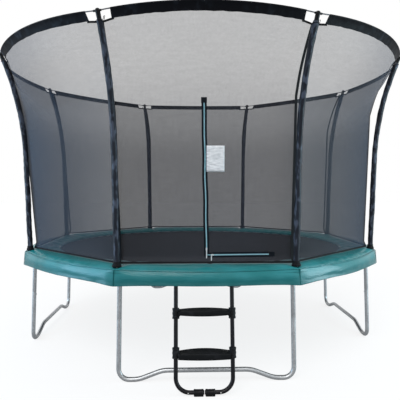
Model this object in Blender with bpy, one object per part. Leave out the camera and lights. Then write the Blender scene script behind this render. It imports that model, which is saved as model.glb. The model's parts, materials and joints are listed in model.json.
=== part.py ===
"""A round garden trampoline with a safety net, a padded rim, W-shaped legs and a hooked ladder.

The origin is on the ground under the mat's centre, +Z up, and the door and ladder face -Y.
Plan angles are counted from -Y towards +X. Every piece is a closed solid in its own object.
"""

import math

import bmesh
import bpy
from mathutils import Matrix, Vector

# General, in metres and degrees
GAP = 0.0003  # left between pieces that touch
POLES = 8
SECTOR = math.radians(360 / POLES)
HALF = SECTOR / 2

# Ring
RING_RADIUS = 1.812
RING_HEIGHT = 0.870
RAIL_TUBE = 0.021
TUBE_WALL = 0.0015
TUBE_SIDES = 8
RAIL_STEPS = 5
SOCKET_REACH = 0.075
RAIL_END_GAP = 0.010
SOCKET_PLAY = 0.0005
SOCKET_TUBE = 0.0265
STUB_TUBE = 0.0225
STUB_DROP = 0.080

# Legs
LEG_TUBE = 0.019
FOOT_RADIUS = 1.840
JOINT_HEIGHT = 0.500
SWAGE_LENGTH = 0.050
SWAGE_CONE = 0.006
LEG_TOP_GAP = 0.004
FOOT_BEND = 0.085
LOW_STRETCH = 0.075
BAR_HEIGHT = 0.090
BAR_INSET = 0.350
BAR_BEND = 0.250

# Springs and mat
SPRINGS_PER_SECTOR = 8
SPRING_TUBE = 0.012
SPRING_HOOK = 0.003
HOOK_LENGTH = 0.020
JOINING_WIRE = 0.0025
MAT_RADIUS = 1.575
MAT_HEIGHT = 0.885
MAT_THICKNESS = 0.003
HEM_WIDTH = 0.045
HEM_THICKNESS = 0.006
MAT_SIDES = 64
MAT_RING_LENGTH = 0.030
MAT_RING_WIDTH = 0.034
MAT_RING_WIRE = 0.004

# Safety pad
PAD_INNER = 1.554
PAD_OUTER = 1.865
PAD_CORNER_BULGE = 0.040
PAD_UNDERSIDE = 0.8970
PAD_CROWN = 0.936
PAD_EDGE = 0.909
PAD_SEAM_DROP = 0.012
SKIRT_FLARE = 0.020
SKIRT_HEM = 0.800
SKIRT_CORNER_DROP = 0.022
SKIRT_THICKNESS = 0.002
PAD_STEPS = 6
STRAP_WIDTH = 0.025
STRAP_THICKNESS = 0.002

# Poles
POLE_RADIUS = 1.857
POLE_TUBE = 0.014
POLE_WALL = 0.0012
POLE_SIDES = 6
POLE_BOTTOM = 0.785
POLE_LEAN = 0.035
POLE_BEND_START = 1.760
POLE_CURVE_POWER = 2.3
RIM_RADIUS = 2.112
RIM_HEIGHT = 2.830
POLE_TOP_DROP = 0.018
SLEEVE_TUBE = 0.0235
SLEEVE_BOTTOM = 0.921
SLEEVE_TOP_DROP = 0.060
COLLAR_TUBE = 0.034
COLLAR_TOP = 0.962
CAP_TUBE = 0.018
CAP_LENGTH = 0.040
CAP_INSET = 0.005185  # from the rim in to the pole's centre line, at the rim's height
POLE_RISE_OUT = POLE_LEAN * (RIM_HEIGHT - SLEEVE_BOTTOM)
POLE_FLARE = RIM_RADIUS - CAP_INSET - POLE_RADIUS - POLE_RISE_OUT
CLAMP_WALL = 0.004
CLAMP_TALL = 0.024
CLAMP_LEVELS = (0.870, 0.812)
CLAMP_WIDTH = 0.040

# Top rim and net
ROD_TUBE = 0.00475
RIM_BOW = 0.020
TUNNEL_DEPTH = 0.068
TUNNEL_PLAY = 0.0007
TUNNEL_LAP = 0.0022
NET_THICKNESS = 0.0013
NET_HEM = 0.950
NET_LEDGE = 0.998
NET_LEDGE_INSET = 0.057
NET_LEDGE_RADIUS = POLE_RADIUS - NET_LEDGE_INSET
NET_BEND = 2.275
NET_BEND_INSET = 0.012
NET_BEND_RADIUS = POLE_RADIUS - NET_BEND_INSET
NET_RISES = ((2.450, 0.08223, 0.075), (2.620, 0.062182, 0.175))  # height, inset, bulge
NET_SEAM_TOP = 2.700
NET_SEAM_TOP_INSET = 0.037116
NET_COLUMNS = (-1.0, -0.87, -0.45, 0.0, 0.45, 0.87)
HEM_CORD = 0.004
NET_HEM_RADIUS = POLE_RADIUS - COLLAR_TUBE - HEM_CORD - GAP

# Door
ZIP_CORNER = (-0.013, 1.008)
ZIP_TOP = (-0.024, 2.258)
ZIP_END = (0.515, 1.012)
DOOR_GAP = 0.0015
TAPE_WIDTH = 0.042
TAPE_THICKNESS = 0.0012
SLIDER_LENGTH = 0.024
SLIDER_WIDTH = 0.012
SLIDER_THICKNESS = 0.005
SLIDER_LIFT = 0.048
SLIDER_SETBACK = 0.058
PULL_LENGTH = 0.034
PULL_WIDTH = 0.006

# Ladder
LADDER_CENTRE = -0.030
LADDER_HALF = 0.214
LADDER_TUBE = 0.016
LADDER_TOP = (-1.8365, 0.826)  # Y and Z of the rail's upper end
LADDER_FOOT = -1.963
FOOT_SLEEVE = 0.0255
FOOT_SLEEVE_LENGTH = 0.073
FOOT_SLEEVE_OFFSET = 0.0435
LADDER_BEND = 0.105
HOOK_BAND = 0.0025
HOOK_PLAY = 0.0012
HOOK_SLACK = 0.0078
HOOK_WIDTH = 0.026
HOOK_SIDES = 8
PLUG_LENGTH = 0.012
STEP_HEIGHTS = (0.600, 0.320)
STEP_DEPTH = 0.085
STEP_THICKNESS = 0.024
STEP_SAG = 0.018
STEP_BOW = 0.024
STEP_CLAMP = 0.027
STEP_CLAMP_TALL = 0.080
STEP_CLAMP_PLAY = 0.0005


def flat(radius, sides=TUBE_SIDES):
    """Distance from a faceted tube's centre line to its flats."""
    return radius * math.cos(math.pi / sides)


def plan(angle, radius, height):
    """A point from its plan angle, its distance from the centre and its height."""
    return Vector((radius * math.sin(angle), -radius * math.cos(angle), height))


def pole_angle(index):
    return HALF + index * SECTOR


def sector_point(sector, across, outward, height):
    """A point from a sector's own directions: across its chord, outward and up."""
    middle = sector * SECTOR
    along = Vector((math.cos(middle), math.sin(middle), 0))
    out = Vector((math.sin(middle), -math.cos(middle), 0))
    return along * across + out * outward + Vector((0, 0, height))


class Shape:
    """Points and faces of one object, which may hold several separate solids."""

    def __init__(self):
        self.mesh = bmesh.new()

    def loop(self, points):
        return [self.mesh.verts.new(point) for point in points]

    def band(self, low, high):
        count = len(low)
        for i in range(count):
            j = (i + 1) % count
            self.mesh.faces.new((low[i], low[j], high[j], high[i]))

    def loft(self, outlines, around=False):
        """Joins outlines of equal length, with flat ends unless the loft runs around."""
        loops = [self.loop(outline) for outline in outlines]
        for low, high in zip(loops, loops[1:]):
            self.band(low, high)
        if around:
            self.band(loops[-1], loops[0])
        else:
            self.mesh.faces.new(loops[0][::-1])
            self.mesh.faces.new(loops[-1])

    def rod(self, path, radii, sides, normal):
        self.loft(outlines_along(path, radii, sides, normal))

    def tube(self, path, radii, wall, sides, normal, anchor=0):
        """A hollow tube with open ends and a closed wall."""
        inner_radii = [radius - wall for radius in spread(radii, len(path))]
        outer = outlines_along(path, radii, sides, normal, anchor)
        inner = outlines_along(path, inner_radii, sides, normal, anchor)
        self.loft(outer + inner[::-1], around=True)

    def extrude(self, outline, offset):
        self.loft([outline, [point + offset for point in outline]])

    def block(self, corner, first, second, third):
        base = [corner, corner + first, corner + first + second, corner + second]
        self.extrude(base, third)


def spread(radii, count):
    return list(radii) if isinstance(radii, (list, tuple)) else [radii] * count


def sides_along(steps, normal, anchor):
    """The side direction of each straight step, square to the anchor step and turned with it."""
    sides = [None] * len(steps)
    sides[anchor] = (normal - steps[anchor] * normal.dot(steps[anchor])).normalized()
    for i in range(anchor + 1, len(steps)):
        sides[i] = steps[i - 1].rotation_difference(steps[i]) @ sides[i - 1]
    for i in range(anchor - 1, -1, -1):
        sides[i] = steps[i + 1].rotation_difference(steps[i]) @ sides[i + 1]
    return sides


def outlines_along(path, radii, sides, normal, anchor=0):
    """Faceted circles along a path, mitred at its bends so that every flat stays flat."""
    steps = [(b - a).normalized() for a, b in zip(path, path[1:])]
    normals = sides_along(steps, normal, anchor)
    turns = [2 * math.pi * (i + 0.5) / sides for i in range(sides)]
    outlines = []
    for i, (point, radius) in enumerate(zip(path, spread(radii, len(path)))):
        before = max(i - 1, 0)
        step = steps[before]
        across = step.cross(normals[before])
        cut = (step + steps[min(i, len(steps) - 1)]).normalized()
        outline = []
        for turn in turns:
            side = (normals[before] * math.cos(turn) + across * math.sin(turn)) * radius
            outline.append(point + side - step * side.dot(cut) / step.dot(cut))
        outlines.append(outline)
    return outlines


def fillet(before, corner, after, radius, steps):
    """Points of a round bend that replaces a corner."""
    first = (before - corner).normalized()
    second = (after - corner).normalized()
    half_angle = first.angle(second) / 2
    centre = corner + (first + second).normalized() * radius / math.sin(half_angle)
    start = corner + first * radius / math.tan(half_angle) - centre
    turn = math.pi - 2 * half_angle
    axis = start.cross(corner - centre).normalized()
    return [
        centre + Matrix.Rotation(turn * i / steps, 3, axis) @ start for i in range(steps + 1)
    ]


def look(name, colour, roughness, metallic):
    material = bpy.data.materials.new(name)
    material.use_nodes = True
    shader = material.node_tree.nodes["Principled BSDF"]
    shader.inputs["Base Color"].default_value = (*colour, 1.0)
    shader.inputs["Roughness"].default_value = roughness
    shader.inputs["Metallic"].default_value = metallic
    material.diffuse_color = (*colour, 1.0)
    return material


STEEL = ((0.62, 0.63, 0.64), 0.38, 0.9)
BLACK_STEEL = ((0.02, 0.02, 0.022), 0.35, 0.3)
BLACK_CLOTH = ((0.018, 0.018, 0.022), 0.75, 0.0)
BLACK_PLASTIC = ((0.02, 0.02, 0.02), 0.5, 0.0)
NAVY_CLOTH = ((0.02, 0.022, 0.035), 0.45, 0.0)
TEAL_CLOTH = ((0.03, 0.26, 0.26), 0.4, 0.0)
NET_CLOTH = ((0.08, 0.085, 0.095), 0.8, 0.0)
ZIP_BLUE = ((0.35, 0.65, 0.75), 0.6, 0.0)
PALE_METAL = ((0.75, 0.76, 0.78), 0.3, 0.8)


def finish(name, shape, surface, origin=None, parent=None, smooth=True):
    """Turns a shape into the named object, with its origin where its joint turns or slides."""
    bmesh.ops.recalc_face_normals(shape.mesh, faces=shape.mesh.faces[:])
    place = Vector(origin) if origin is not None else Vector((0, 0, 0))
    bmesh.ops.translate(shape.mesh, verts=shape.mesh.verts[:], vec=-place)
    mesh = bpy.data.meshes.new(name)
    shape.mesh.to_mesh(mesh)
    shape.mesh.free()
    if smooth:
        mesh.shade_smooth()
        mesh.set_sharp_from_angle(angle=math.radians(35))
    obj = bpy.data.objects.new(name, mesh)
    obj.data.materials.append(look(name, *surface))
    bpy.context.scene.collection.objects.link(obj)
    obj.location = place
    if parent is not None:
        obj.parent = parent
        obj.location = place - parent.location
    return obj


def empty(name, place):
    marker = bpy.data.objects.new(name, None)
    marker.location = place
    bpy.context.scene.collection.objects.link(marker)
    return marker


def cutter(name, shape):
    """A shape that only cuts or joins, and is no piece of its own."""
    obj = finish(name, shape, BLACK_PLASTIC)
    obj.hide_render = True
    obj.display_type = "WIRE"
    return obj


def combine(obj, other, operation):
    modifier = obj.modifiers.new(operation.title(), "BOOLEAN")
    modifier.operation = operation
    modifier.object = other
    modifier.solver = "EXACT"


# Ring


def rail_path(index):
    """A rail's centre line, straight inside its two sockets and curved between them."""
    start_angle = pole_angle(index)
    end_angle = start_angle + SECTOR
    start = plan(start_angle, RING_RADIUS, RING_HEIGHT)
    end = plan(end_angle, RING_RADIUS, RING_HEIGHT)
    leave = Vector((math.cos(start_angle), math.sin(start_angle), 0))
    arrive = Vector((math.cos(end_angle), math.sin(end_angle), 0))
    middle = [
        plan(start_angle + SECTOR * i / RAIL_STEPS, RING_RADIUS, RING_HEIGHT)
        for i in range(1, RAIL_STEPS)
    ]
    first = [start + leave * RAIL_END_GAP, start + leave * SOCKET_REACH]
    last = [end - arrive * SOCKET_REACH, end - arrive * RAIL_END_GAP]
    return first + middle + last


def ring_distance(angle):
    """How far the ring's centre line is from the middle, in the direction of an angle."""
    turned = (angle - pole_angle(0)) % (2 * math.pi)
    path = rail_path(int(turned // SECTOR))
    ray = plan(angle, 1.0, 0)
    for a, b in zip(path, path[1:]):
        side_a = ray.x * a.y - ray.y * a.x
        side_b = ray.x * b.y - ray.y * b.x
        if side_a * side_b <= 0 and ray.x * a.x + ray.y * a.y > 0:
            point = a.lerp(b, side_a / (side_a - side_b))
            return math.hypot(point.x, point.y)
    return RING_RADIUS


def make_rail(index):
    shape = Shape()
    shape.tube(rail_path(index), RAIL_TUBE, TUBE_WALL, TUBE_SIDES, Vector((0, 0, 1)))
    return finish(f"ring_rail_{index + 1}", shape, STEEL)


def leg_line(index, height):
    """The centre line of an upright, which leans out towards its foot."""
    share = (RING_HEIGHT - height) / RING_HEIGHT
    return plan(
        pole_angle(index), RING_RADIUS + (FOOT_RADIUS - RING_RADIUS) * share, height
    )


def leg_facing(index):
    """The outward direction of the leg that an upright belongs to."""
    leg = (index + 1) // 2
    return plan(leg * SECTOR * 2, 1.0, 0)


def make_socket(index):
    """A T-socket: a sleeve along the ring, a stub for the upright and two pole clamps."""
    angle = pole_angle(index)
    centre = plan(angle, RING_RADIUS, RING_HEIGHT)
    along = Vector((math.cos(angle), math.sin(angle), 0))
    out = plan(angle, 1.0, 0)
    up = Vector((0, 0, 1))
    solid = Shape()
    reach = along * SOCKET_REACH
    solid.rod([centre - reach, centre + reach], SOCKET_TUBE, TUBE_SIDES, up)
    socket = finish(f"ring_t_socket_{index + 1}", solid, STEEL)

    stub = Shape()
    low = leg_line(index, RING_HEIGHT - STUB_DROP)
    facing = leg_facing(index)
    stub.rod([centre, low], STUB_TUBE, TUBE_SIDES, facing)
    combine(socket, cutter(f"stub_{index + 1}", stub), "UNION")

    depth = POLE_RADIUS - RING_RADIUS + POLE_TUBE + CLAMP_WALL
    for number, level in enumerate(CLAMP_LEVELS):
        clamp = Shape()
        corner = plan(angle, RING_RADIUS, level - CLAMP_TALL / 2) - along * CLAMP_WIDTH / 2
        clamp.block(corner, out * depth, along * CLAMP_WIDTH, up * CLAMP_TALL)
        combine(socket, cutter(f"clamp_{index + 1}_{number + 1}", clamp), "UNION")

    bores = {
        "rail_bore": (centre - reach * 1.2, centre + reach * 1.2, RAIL_TUBE, TUBE_SIDES, up),
        "leg_bore": (centre, leg_line(index, low.z - STUB_DROP), LEG_TUBE, TUBE_SIDES, facing),
        "pole_bore": (
            plan(angle, POLE_RADIUS, POLE_BOTTOM),
            plan(angle, POLE_RADIUS, SLEEVE_BOTTOM),
            POLE_TUBE,
            POLE_SIDES,
            out,
        ),
    }
    for name, (start, end, radius, sides, normal) in bores.items():
        bore = Shape()
        bore.rod([start, end], radius + SOCKET_PLAY, sides, normal)
        combine(socket, cutter(f"{name}_{index + 1}", bore), "DIFFERENCE")
    return socket


# Legs


def make_upright(index):
    """The upper tube of a leg, narrowed below to fit inside the base."""
    shape = Shape()
    swaged = LEG_TUBE - TUBE_WALL - SOCKET_PLAY
    heights = [JOINT_HEIGHT - SWAGE_LENGTH, JOINT_HEIGHT + GAP]
    heights += [JOINT_HEIGHT + SWAGE_CONE, RING_HEIGHT - RAIL_TUBE - LEG_TOP_GAP]
    path = [leg_line(index, height) for height in heights]
    radii = [swaged, swaged, LEG_TUBE, LEG_TUBE]
    shape.tube(path, radii, TUBE_WALL, TUBE_SIDES, leg_facing(index))
    return finish(f"leg_upright_{index + 1}", shape, STEEL)


def base_path(leg):
    """The W-shaped centre line: down, round the low corner, up to the bar and across."""
    low = flat(LEG_TUBE)
    middle = leg * SECTOR * 2
    along = Vector((math.cos(middle), math.sin(middle), 0))

    def half(index, inward):
        joint = leg_line(index, JOINT_HEIGHT)
        corner = leg_line(index, low)
        rise = corner + inward * (FOOT_BEND + LOW_STRETCH)
        bar = corner + inward * BAR_INSET + Vector((0, 0, BAR_HEIGHT - low))
        end = bar + inward
        bend = fillet(joint, corner, rise, FOOT_BEND, 2)
        ramp = fillet(corner, rise, bar, BAR_BEND, 1)
        level = fillet(rise, bar, end, BAR_BEND, 1)
        return [joint] + bend + ramp + level

    left = half(2 * leg - 1, along)
    right = half(2 * leg, -along)
    return left + right[::-1]


def make_base(leg):
    shape = Shape()
    path = base_path(leg)
    bar = len(path) // 2 - 1
    shape.tube(path, LEG_TUBE, TUBE_WALL, TUBE_SIDES, leg_facing(2 * leg), bar)
    return finish(f"w_base_{leg + 1}", shape, STEEL)


# Mat and springs


def spring_angles():
    count = POLES * SPRINGS_PER_SECTOR
    return [pole_angle(0) + 2 * math.pi * (i + 0.5) / count for i in range(count)]


def mat_edge():
    """Distance from the mat's centre to the middle of its faceted sides."""
    return MAT_RADIUS * math.cos(math.pi / MAT_SIDES)


def make_mat(body):
    """A disc that thickens to its hem, its flat sides facing the springs."""
    first = spring_angles()[0] - math.pi / MAT_SIDES
    profile = (
        (MAT_RADIUS - HEM_WIDTH, MAT_THICKNESS - HEM_THICKNESS / 2),
        (MAT_RADIUS, HEM_THICKNESS / 2),
        (MAT_RADIUS, -HEM_THICKNESS / 2),
    )
    shape = Shape()
    outlines = []
    for radius, lift in profile:
        angles = [first + 2 * math.pi * i / MAT_SIDES for i in range(MAT_SIDES)]
        outlines.append([plan(angle, radius, MAT_HEIGHT + lift) for angle in angles])
    shape.loft(outlines)
    mat = finish("jump_mat", shape, BLACK_CLOTH, body.location, body)
    combine(mat, cutter("mat_rings", mat_rings()), "UNION")
    return mat


def mat_rings():
    """Flat triangular wire rings, sewn into the hem, that the springs hook into."""
    shape = Shape()
    start = mat_edge()
    for angle in spring_angles():
        across = Vector((math.cos(angle), math.sin(angle), 0)) * MAT_RING_WIDTH / 2
        low = plan(angle, start - 0.003, MAT_HEIGHT - MAT_RING_WIRE / 2)
        tip = plan(angle, start + MAT_RING_LENGTH, MAT_HEIGHT - MAT_RING_WIRE / 2)
        outline = [low - across, tip - across * 0.2, tip + across * 0.2, low + across]
        shape.extrude(outline, Vector((0, 0, MAT_RING_WIRE)))
    return shape


def make_springs():
    """Plain spring bodies from ring to mat, kept in one piece by a thin wire at the mat."""
    shape = Shape()
    root = mat_edge() + MAT_RING_LENGTH + GAP * 2
    hooks = []
    for angle in spring_angles():
        along = Vector((math.cos(angle), math.sin(angle), 0)) * SPRING_HOOK
        for side in (-1, 1):
            near = plan(angle, root, MAT_HEIGHT) + along * side
            far = plan(angle, root + 2 * JOINING_WIRE, MAT_HEIGHT) + along * side
            up = Vector((0, 0, SPRING_HOOK))
            hooks.append(shape.loop([near - up, far - up, far + up, near + up]))
    count = len(hooks)
    for i, angle in enumerate(spring_angles()):
        left, right = hooks[2 * i], hooks[2 * i + 1]
        for j in (0, 2, 3):
            k = (j + 1) % 4
            shape.mesh.faces.new((left[j], left[k], right[k], right[j]))
        shape.band(right, hooks[(2 * i + 2) % count])
        outer = ring_distance(angle) - flat(RAIL_TUBE) - 2 * GAP
        start = plan(angle, root + 2 * JOINING_WIRE, MAT_HEIGHT)
        end = plan(angle, outer, RING_HEIGHT)
        step = (end - start).normalized() * HOOK_LENGTH
        along = Vector((math.cos(angle), math.sin(angle), 0))
        up = Vector((0, 0, 1))
        last = [left[1], right[1], right[2], left[2]]
        for centre, size in (
            (start + step, SPRING_TUBE),
            (end - step, SPRING_TUBE),
            (end, SPRING_HOOK),
        ):
            turns = ((-1, -1), (1, -1), (1, 1), (-1, 1))
            share = size if size == SPRING_HOOK else size * math.sqrt(0.5)
            points = [centre + (along * a + up * b) * share for a, b in turns]
            ring = shape.loop(points)
            shape.band(last, ring)
            last = ring
        shape.mesh.faces.new(last)
    return finish("springs", shape, STEEL)


# Safety pad


def pad_section(angle):
    """The pad's cross-section at an angle from its middle: crown, edge, skirt, underside."""
    corner = (abs(angle) / HALF) ** 4
    outer = PAD_OUTER + PAD_CORNER_BULGE * corner
    lift = PAD_CROWN - PAD_UNDERSIDE
    drop = PAD_SEAM_DROP * corner
    hem = SKIRT_HEM - SKIRT_CORNER_DROP * corner
    width = outer - PAD_INNER
    return (
        (PAD_INNER + 0.004, PAD_UNDERSIDE),
        (PAD_INNER, PAD_UNDERSIDE + lift * 0.35),
        (PAD_INNER + width * 0.06, PAD_UNDERSIDE + lift * 0.8 - drop),
        (PAD_INNER + width * 0.30, PAD_CROWN - drop),
        (PAD_INNER + width * 0.72, PAD_CROWN - drop),
        (outer - 0.018, PAD_UNDERSIDE + lift * 0.75 - drop),
        (outer, PAD_EDGE - drop / 2),
        (outer + SKIRT_FLARE, hem),
        (outer + SKIRT_FLARE - SKIRT_THICKNESS, hem),
        (outer - SKIRT_THICKNESS, PAD_UNDERSIDE),
    )


def make_pad():
    """The padded rim with its skirt: one sewn ring, with a hole for each pole."""
    shape = Shape()
    outlines = []
    for step in range(POLES * PAD_STEPS):
        sector, part = divmod(step, PAD_STEPS)
        angle = -HALF + SECTOR * part / PAD_STEPS
        middle = sector * SECTOR
        outlines.append([plan(middle + angle, r, z) for r, z in pad_section(angle)])
    shape.loft(outlines, around=True)
    pad = finish("safety_pad", shape, TEAL_CLOTH)
    holes = Shape()
    for index in range(POLES):
        foot = plan(pole_angle(index), POLE_RADIUS, PAD_UNDERSIDE - 0.02)
        top = plan(pole_angle(index), POLE_RADIUS, PAD_CROWN + 0.02)
        holes.rod([foot, top], POLE_TUBE + 0.003, POLE_SIDES, plan(pole_angle(index), 1, 0))
    combine(pad, cutter("pole_holes", holes), "DIFFERENCE")
    combine(pad, cutter("pad_straps", pad_straps()), "UNION")
    return pad


def pad_straps():
    """Elastic straps sewn under the pad midway between the poles, looped round the ring."""
    shape = Shape()
    inside = RAIL_TUBE + GAP * 2
    outside = inside + STRAP_THICKNESS
    top = PAD_UNDERSIDE + STRAP_THICKNESS - RING_HEIGHT
    up = Vector((0, 0, 1))
    for index in range(POLES):
        angle = index * SECTOR
        centre = plan(angle, ring_distance(angle), RING_HEIGHT)
        out = plan(angle, 1.0, 0)
        along = Vector((math.cos(angle), math.sin(angle), 0)) * STRAP_WIDTH
        turns = [math.pi * (i + 0.5) / (TUBE_SIDES / 2) for i in range(TUBE_SIDES // 2)]
        arc = [out * math.cos(t) - up * math.sin(t) for t in turns]
        outline = [centre + out * flat(outside) + up * top]
        outline += [centre + point * outside for point in arc]
        outline += [centre - out * flat(outside) + up * top]
        outline += [centre - out * flat(inside) + up * top]
        outline += [centre + point * inside for point in arc[::-1]]
        outline += [centre + out * flat(inside) + up * top]
        shape.extrude([point - along / 2 for point in outline], along)
    return shape


# Poles


def pole_distance(height):
    """How far a pole's centre line is from the middle at a height."""
    lean = POLE_LEAN * (height - SLEEVE_BOTTOM)
    share = max(0.0, (height - POLE_BEND_START) / (RIM_HEIGHT - POLE_BEND_START))
    return POLE_RADIUS + max(0.0, lean) + POLE_FLARE * share**POLE_CURVE_POWER


POLE_STATIONS = (POLE_BEND_START, 2.210, 2.560)


def pole_path(index, low, high):
    heights = [low] + [h for h in POLE_STATIONS if low < h < high] + [high]
    angle = pole_angle(index)
    return [plan(angle, pole_distance(height), height) for height in heights]


def make_pole(index):
    angle = pole_angle(index)
    along = Vector((math.cos(angle), math.sin(angle), 0))
    out = plan(angle, 1.0, 0)
    shape = Shape()
    path = pole_path(index, SLEEVE_BOTTOM, RIM_HEIGHT - POLE_TOP_DROP)
    foot = plan(angle, POLE_RADIUS, POLE_BOTTOM)
    shape.tube([foot] + path, POLE_TUBE, POLE_WALL, POLE_SIDES, out)
    return finish(f"pole_{index + 1}", shape, STEEL)


def make_sleeve(index):
    """A padded sleeve, gathered in a thicker collar at its foot."""
    shape = Shape()
    bore = POLE_TUBE + GAP * 1.5
    full = pole_path(index, SLEEVE_BOTTOM, RIM_HEIGHT - POLE_TOP_DROP)
    high = full[-1] + (full[-2] - full[-1]).normalized() * SLEEVE_TOP_DROP
    rise = (full[1] - full[0]).normalized()
    collar = [full[0] + rise * lift for lift in (0.0, COLLAR_TOP - SLEEVE_BOTTOM)]
    path = collar + [collar[1] + rise * 0.004] + full[1:-1] + [high]
    radii = [COLLAR_TUBE, COLLAR_TUBE] + [SLEEVE_TUBE] * (len(path) - 2)
    out = plan(pole_angle(index), 1.0, 0)
    outer = outlines_along(path, radii, POLE_SIDES, out)
    inner_path = [path[0]] + path[3:]
    inner = outlines_along(inner_path, bore, POLE_SIDES, out)
    shape.loft(outer + inner[::-1], around=True)
    return finish(f"pole_sleeve_{index + 1}", shape, NAVY_CLOTH)


# Top rim and net


def rim_point(sector, share, drop=0.0):
    """A point on the round top rim; share runs from -1 to 1 across the sector."""
    angle = sector * SECTOR + share * HALF
    return plan(angle, RIM_RADIUS, RIM_HEIGHT + RIM_BOW * (1 - share * share) - drop)


def make_top_rim():
    """Thin rods that form the round rim, in one piece with the caps on the pole ends."""
    shape = Shape()
    outlines = []
    path = [rim_point(k, share) for k in range(POLES) for share in NET_COLUMNS]
    for i, point in enumerate(path):
        along = (path[(i + 1) % len(path)] - path[i - 1]).normalized()
        up = (Vector((0, 0, 1)) - along * along.z).normalized()
        out = along.cross(up)
        turns = [math.radians(72 * k) for k in range(5)]
        outlines.append(
            [point + (up * math.cos(t) + out * math.sin(t)) * ROD_TUBE for t in turns]
        )
    shape.loft(outlines, around=True)
    rim = finish("top_rim", shape, STEEL)
    caps = Shape()
    for index in range(POLES):
        path = pole_path(index, SLEEVE_BOTTOM, RIM_HEIGHT - POLE_TOP_DROP)
        along = (path[-1] - path[-2]).normalized()
        start = path[-1] + along * GAP
        stations = [start + along * CAP_LENGTH * share for share in (0, 0.7, 0.93, 1.0)]
        radii = [CAP_TUBE, CAP_TUBE, CAP_TUBE * 0.7, CAP_TUBE * 0.3]
        caps.rod(stations, radii, POLE_SIDES, plan(pole_angle(index), 1.0, 0))
    combine(rim, cutter("pole_caps", caps), "UNION")
    return rim


def net_rows():
    """The net's grid, all the way round: rows from the hem up to the foot of the band."""
    levels = [(NET_HEM, NET_HEM_RADIUS, 0.0), (NET_LEDGE, NET_LEDGE_RADIUS, 0.0)]
    levels += [(NET_BEND, NET_BEND_RADIUS, 0.0)]
    for height, inset, bulge in NET_RISES:
        levels.append((height, pole_distance(height) - inset, bulge))
    rows = []
    for height, radius, bulge in levels:
        half_width = radius * math.sin(HALF)
        chord = radius * math.cos(HALF)
        rows.append(
            [
                sector_point(k, s * half_width, chord + bulge * (1 - s * s), height)
                for k in range(POLES)
                for s in NET_COLUMNS
            ]
        )
    top = []
    seam_top = pole_distance(NET_SEAM_TOP) - NET_SEAM_TOP_INSET
    for k in range(POLES):
        for s in NET_COLUMNS:
            if s == -1.0:
                top.append(plan(k * SECTOR - HALF, seam_top, NET_SEAM_TOP))
            else:
                out = plan(k * SECTOR + s * HALF, 1.0, 0)
                top.append(rim_point(k, s, TUNNEL_DEPTH) - out * TUNNEL_LAP / 2)
    rows.append(top)
    return rows


def fold_rows(sector):
    """The band's cloth above the net: up inside the rod, over it and down outside."""
    half = (ROD_TUBE + TUNNEL_PLAY + NET_THICKNESS / 2) * 1.2
    fold = (
        (-half, -half / 2),
        (-half * 0.6, half),
        (half * 0.6, half),
        (half, -half / 2),
        (TUNNEL_LAP / 2, 0.002 - TUNNEL_DEPTH),
    )
    rows = []
    for outward, lift in fold:
        row = []
        for share in NET_COLUMNS[1:]:
            out = plan(sector * SECTOR + share * HALF, 1.0, 0)
            row.append(rim_point(sector, share) + out * outward + Vector((0, 0, lift)))
        rows.append(row)
    return rows


def net_surface():
    """The net as one open sheet, with the bands that hold it to the rods."""
    shape = Shape()
    rows = [shape.loop(row) for row in net_rows()]
    for low, high in zip(rows, rows[1:]):
        shape.band(low, high)
    width = len(NET_COLUMNS)
    for sector in range(POLES):
        last = rows[-1][sector * width + 1 : (sector + 1) * width]
        for points in fold_rows(sector):
            row = shape.loop(points)
            for i in range(len(row) - 1):
                shape.mesh.faces.new((last[i], last[i + 1], row[i + 1], row[i]))
            last = row
    return shape


def front_point(across, height, lift=0.0):
    """A point on the front panel's flat stretch, lifted outward from its middle plane."""
    share = (height - NET_LEDGE) / (NET_BEND - NET_LEDGE)
    radius = NET_LEDGE_RADIUS + (NET_BEND_RADIUS - NET_LEDGE_RADIUS) * share
    return Vector((across, -radius * math.cos(HALF) - lift, height))


def door_prism(gap, depth):
    """The door's triangle as a solid in the net's plane, drawn in by a gap on every side."""
    corners = [Vector((*p, 0)) for p in (ZIP_CORNER, ZIP_TOP, ZIP_END)]
    shrunk = []
    for i, corner in enumerate(corners):
        to_next = (corners[(i + 1) % 3] - corner).normalized()
        to_last = (corners[i - 1] - corner).normalized()
        half = to_next.angle(to_last) / 2
        shrunk.append(corner + (to_next + to_last).normalized() * gap / math.sin(half))
    shape = Shape()
    shape.extrude([front_point(c.x, c.y, depth / 2) for c in shrunk], Vector((0, depth, 0)))
    return shape


def make_net():
    """The net sewn in one piece, open at the door, which is a flap of its own."""
    net = finish("net_enclosure", net_surface(), NET_CLOTH)
    thicken = net.modifiers.new("Cloth", "SOLIDIFY")
    thicken.thickness = NET_THICKNESS
    thicken.offset = 0.0
    thicken.use_even_offset = True
    combine(net, cutter("doorway", door_prism(0.0, 0.06)), "DIFFERENCE")
    return net


def make_door(door):
    """The corner that unzips, hinged on the line between the zip's two ends."""
    flap = door_prism(DOOR_GAP, NET_THICKNESS)
    return finish("door_flap", flap, NET_CLOTH, door.location, door, smooth=False)


def make_zip():
    """The L-shaped zip tape, just outside the slit that it closes."""
    shape = Shape()
    half = TAPE_WIDTH / 2
    lift = NET_THICKNESS / 2 + GAP
    outline = (
        (ZIP_TOP[0] - half, ZIP_TOP[1]),
        (ZIP_CORNER[0] - half, ZIP_CORNER[1] - half + 0.012),
        (ZIP_END[0], ZIP_END[1] - half + 0.012),
        (ZIP_END[0], ZIP_END[1] + half),
        (ZIP_CORNER[0] + half, ZIP_CORNER[1] + half),
        (ZIP_TOP[0] + half, ZIP_TOP[1]),
    )
    points = [front_point(across, height, lift) for across, height in outline]
    shape.extrude(points, Vector((0, -TAPE_THICKNESS, 0)))
    return finish("zip_tape", shape, ZIP_BLUE)


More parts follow.
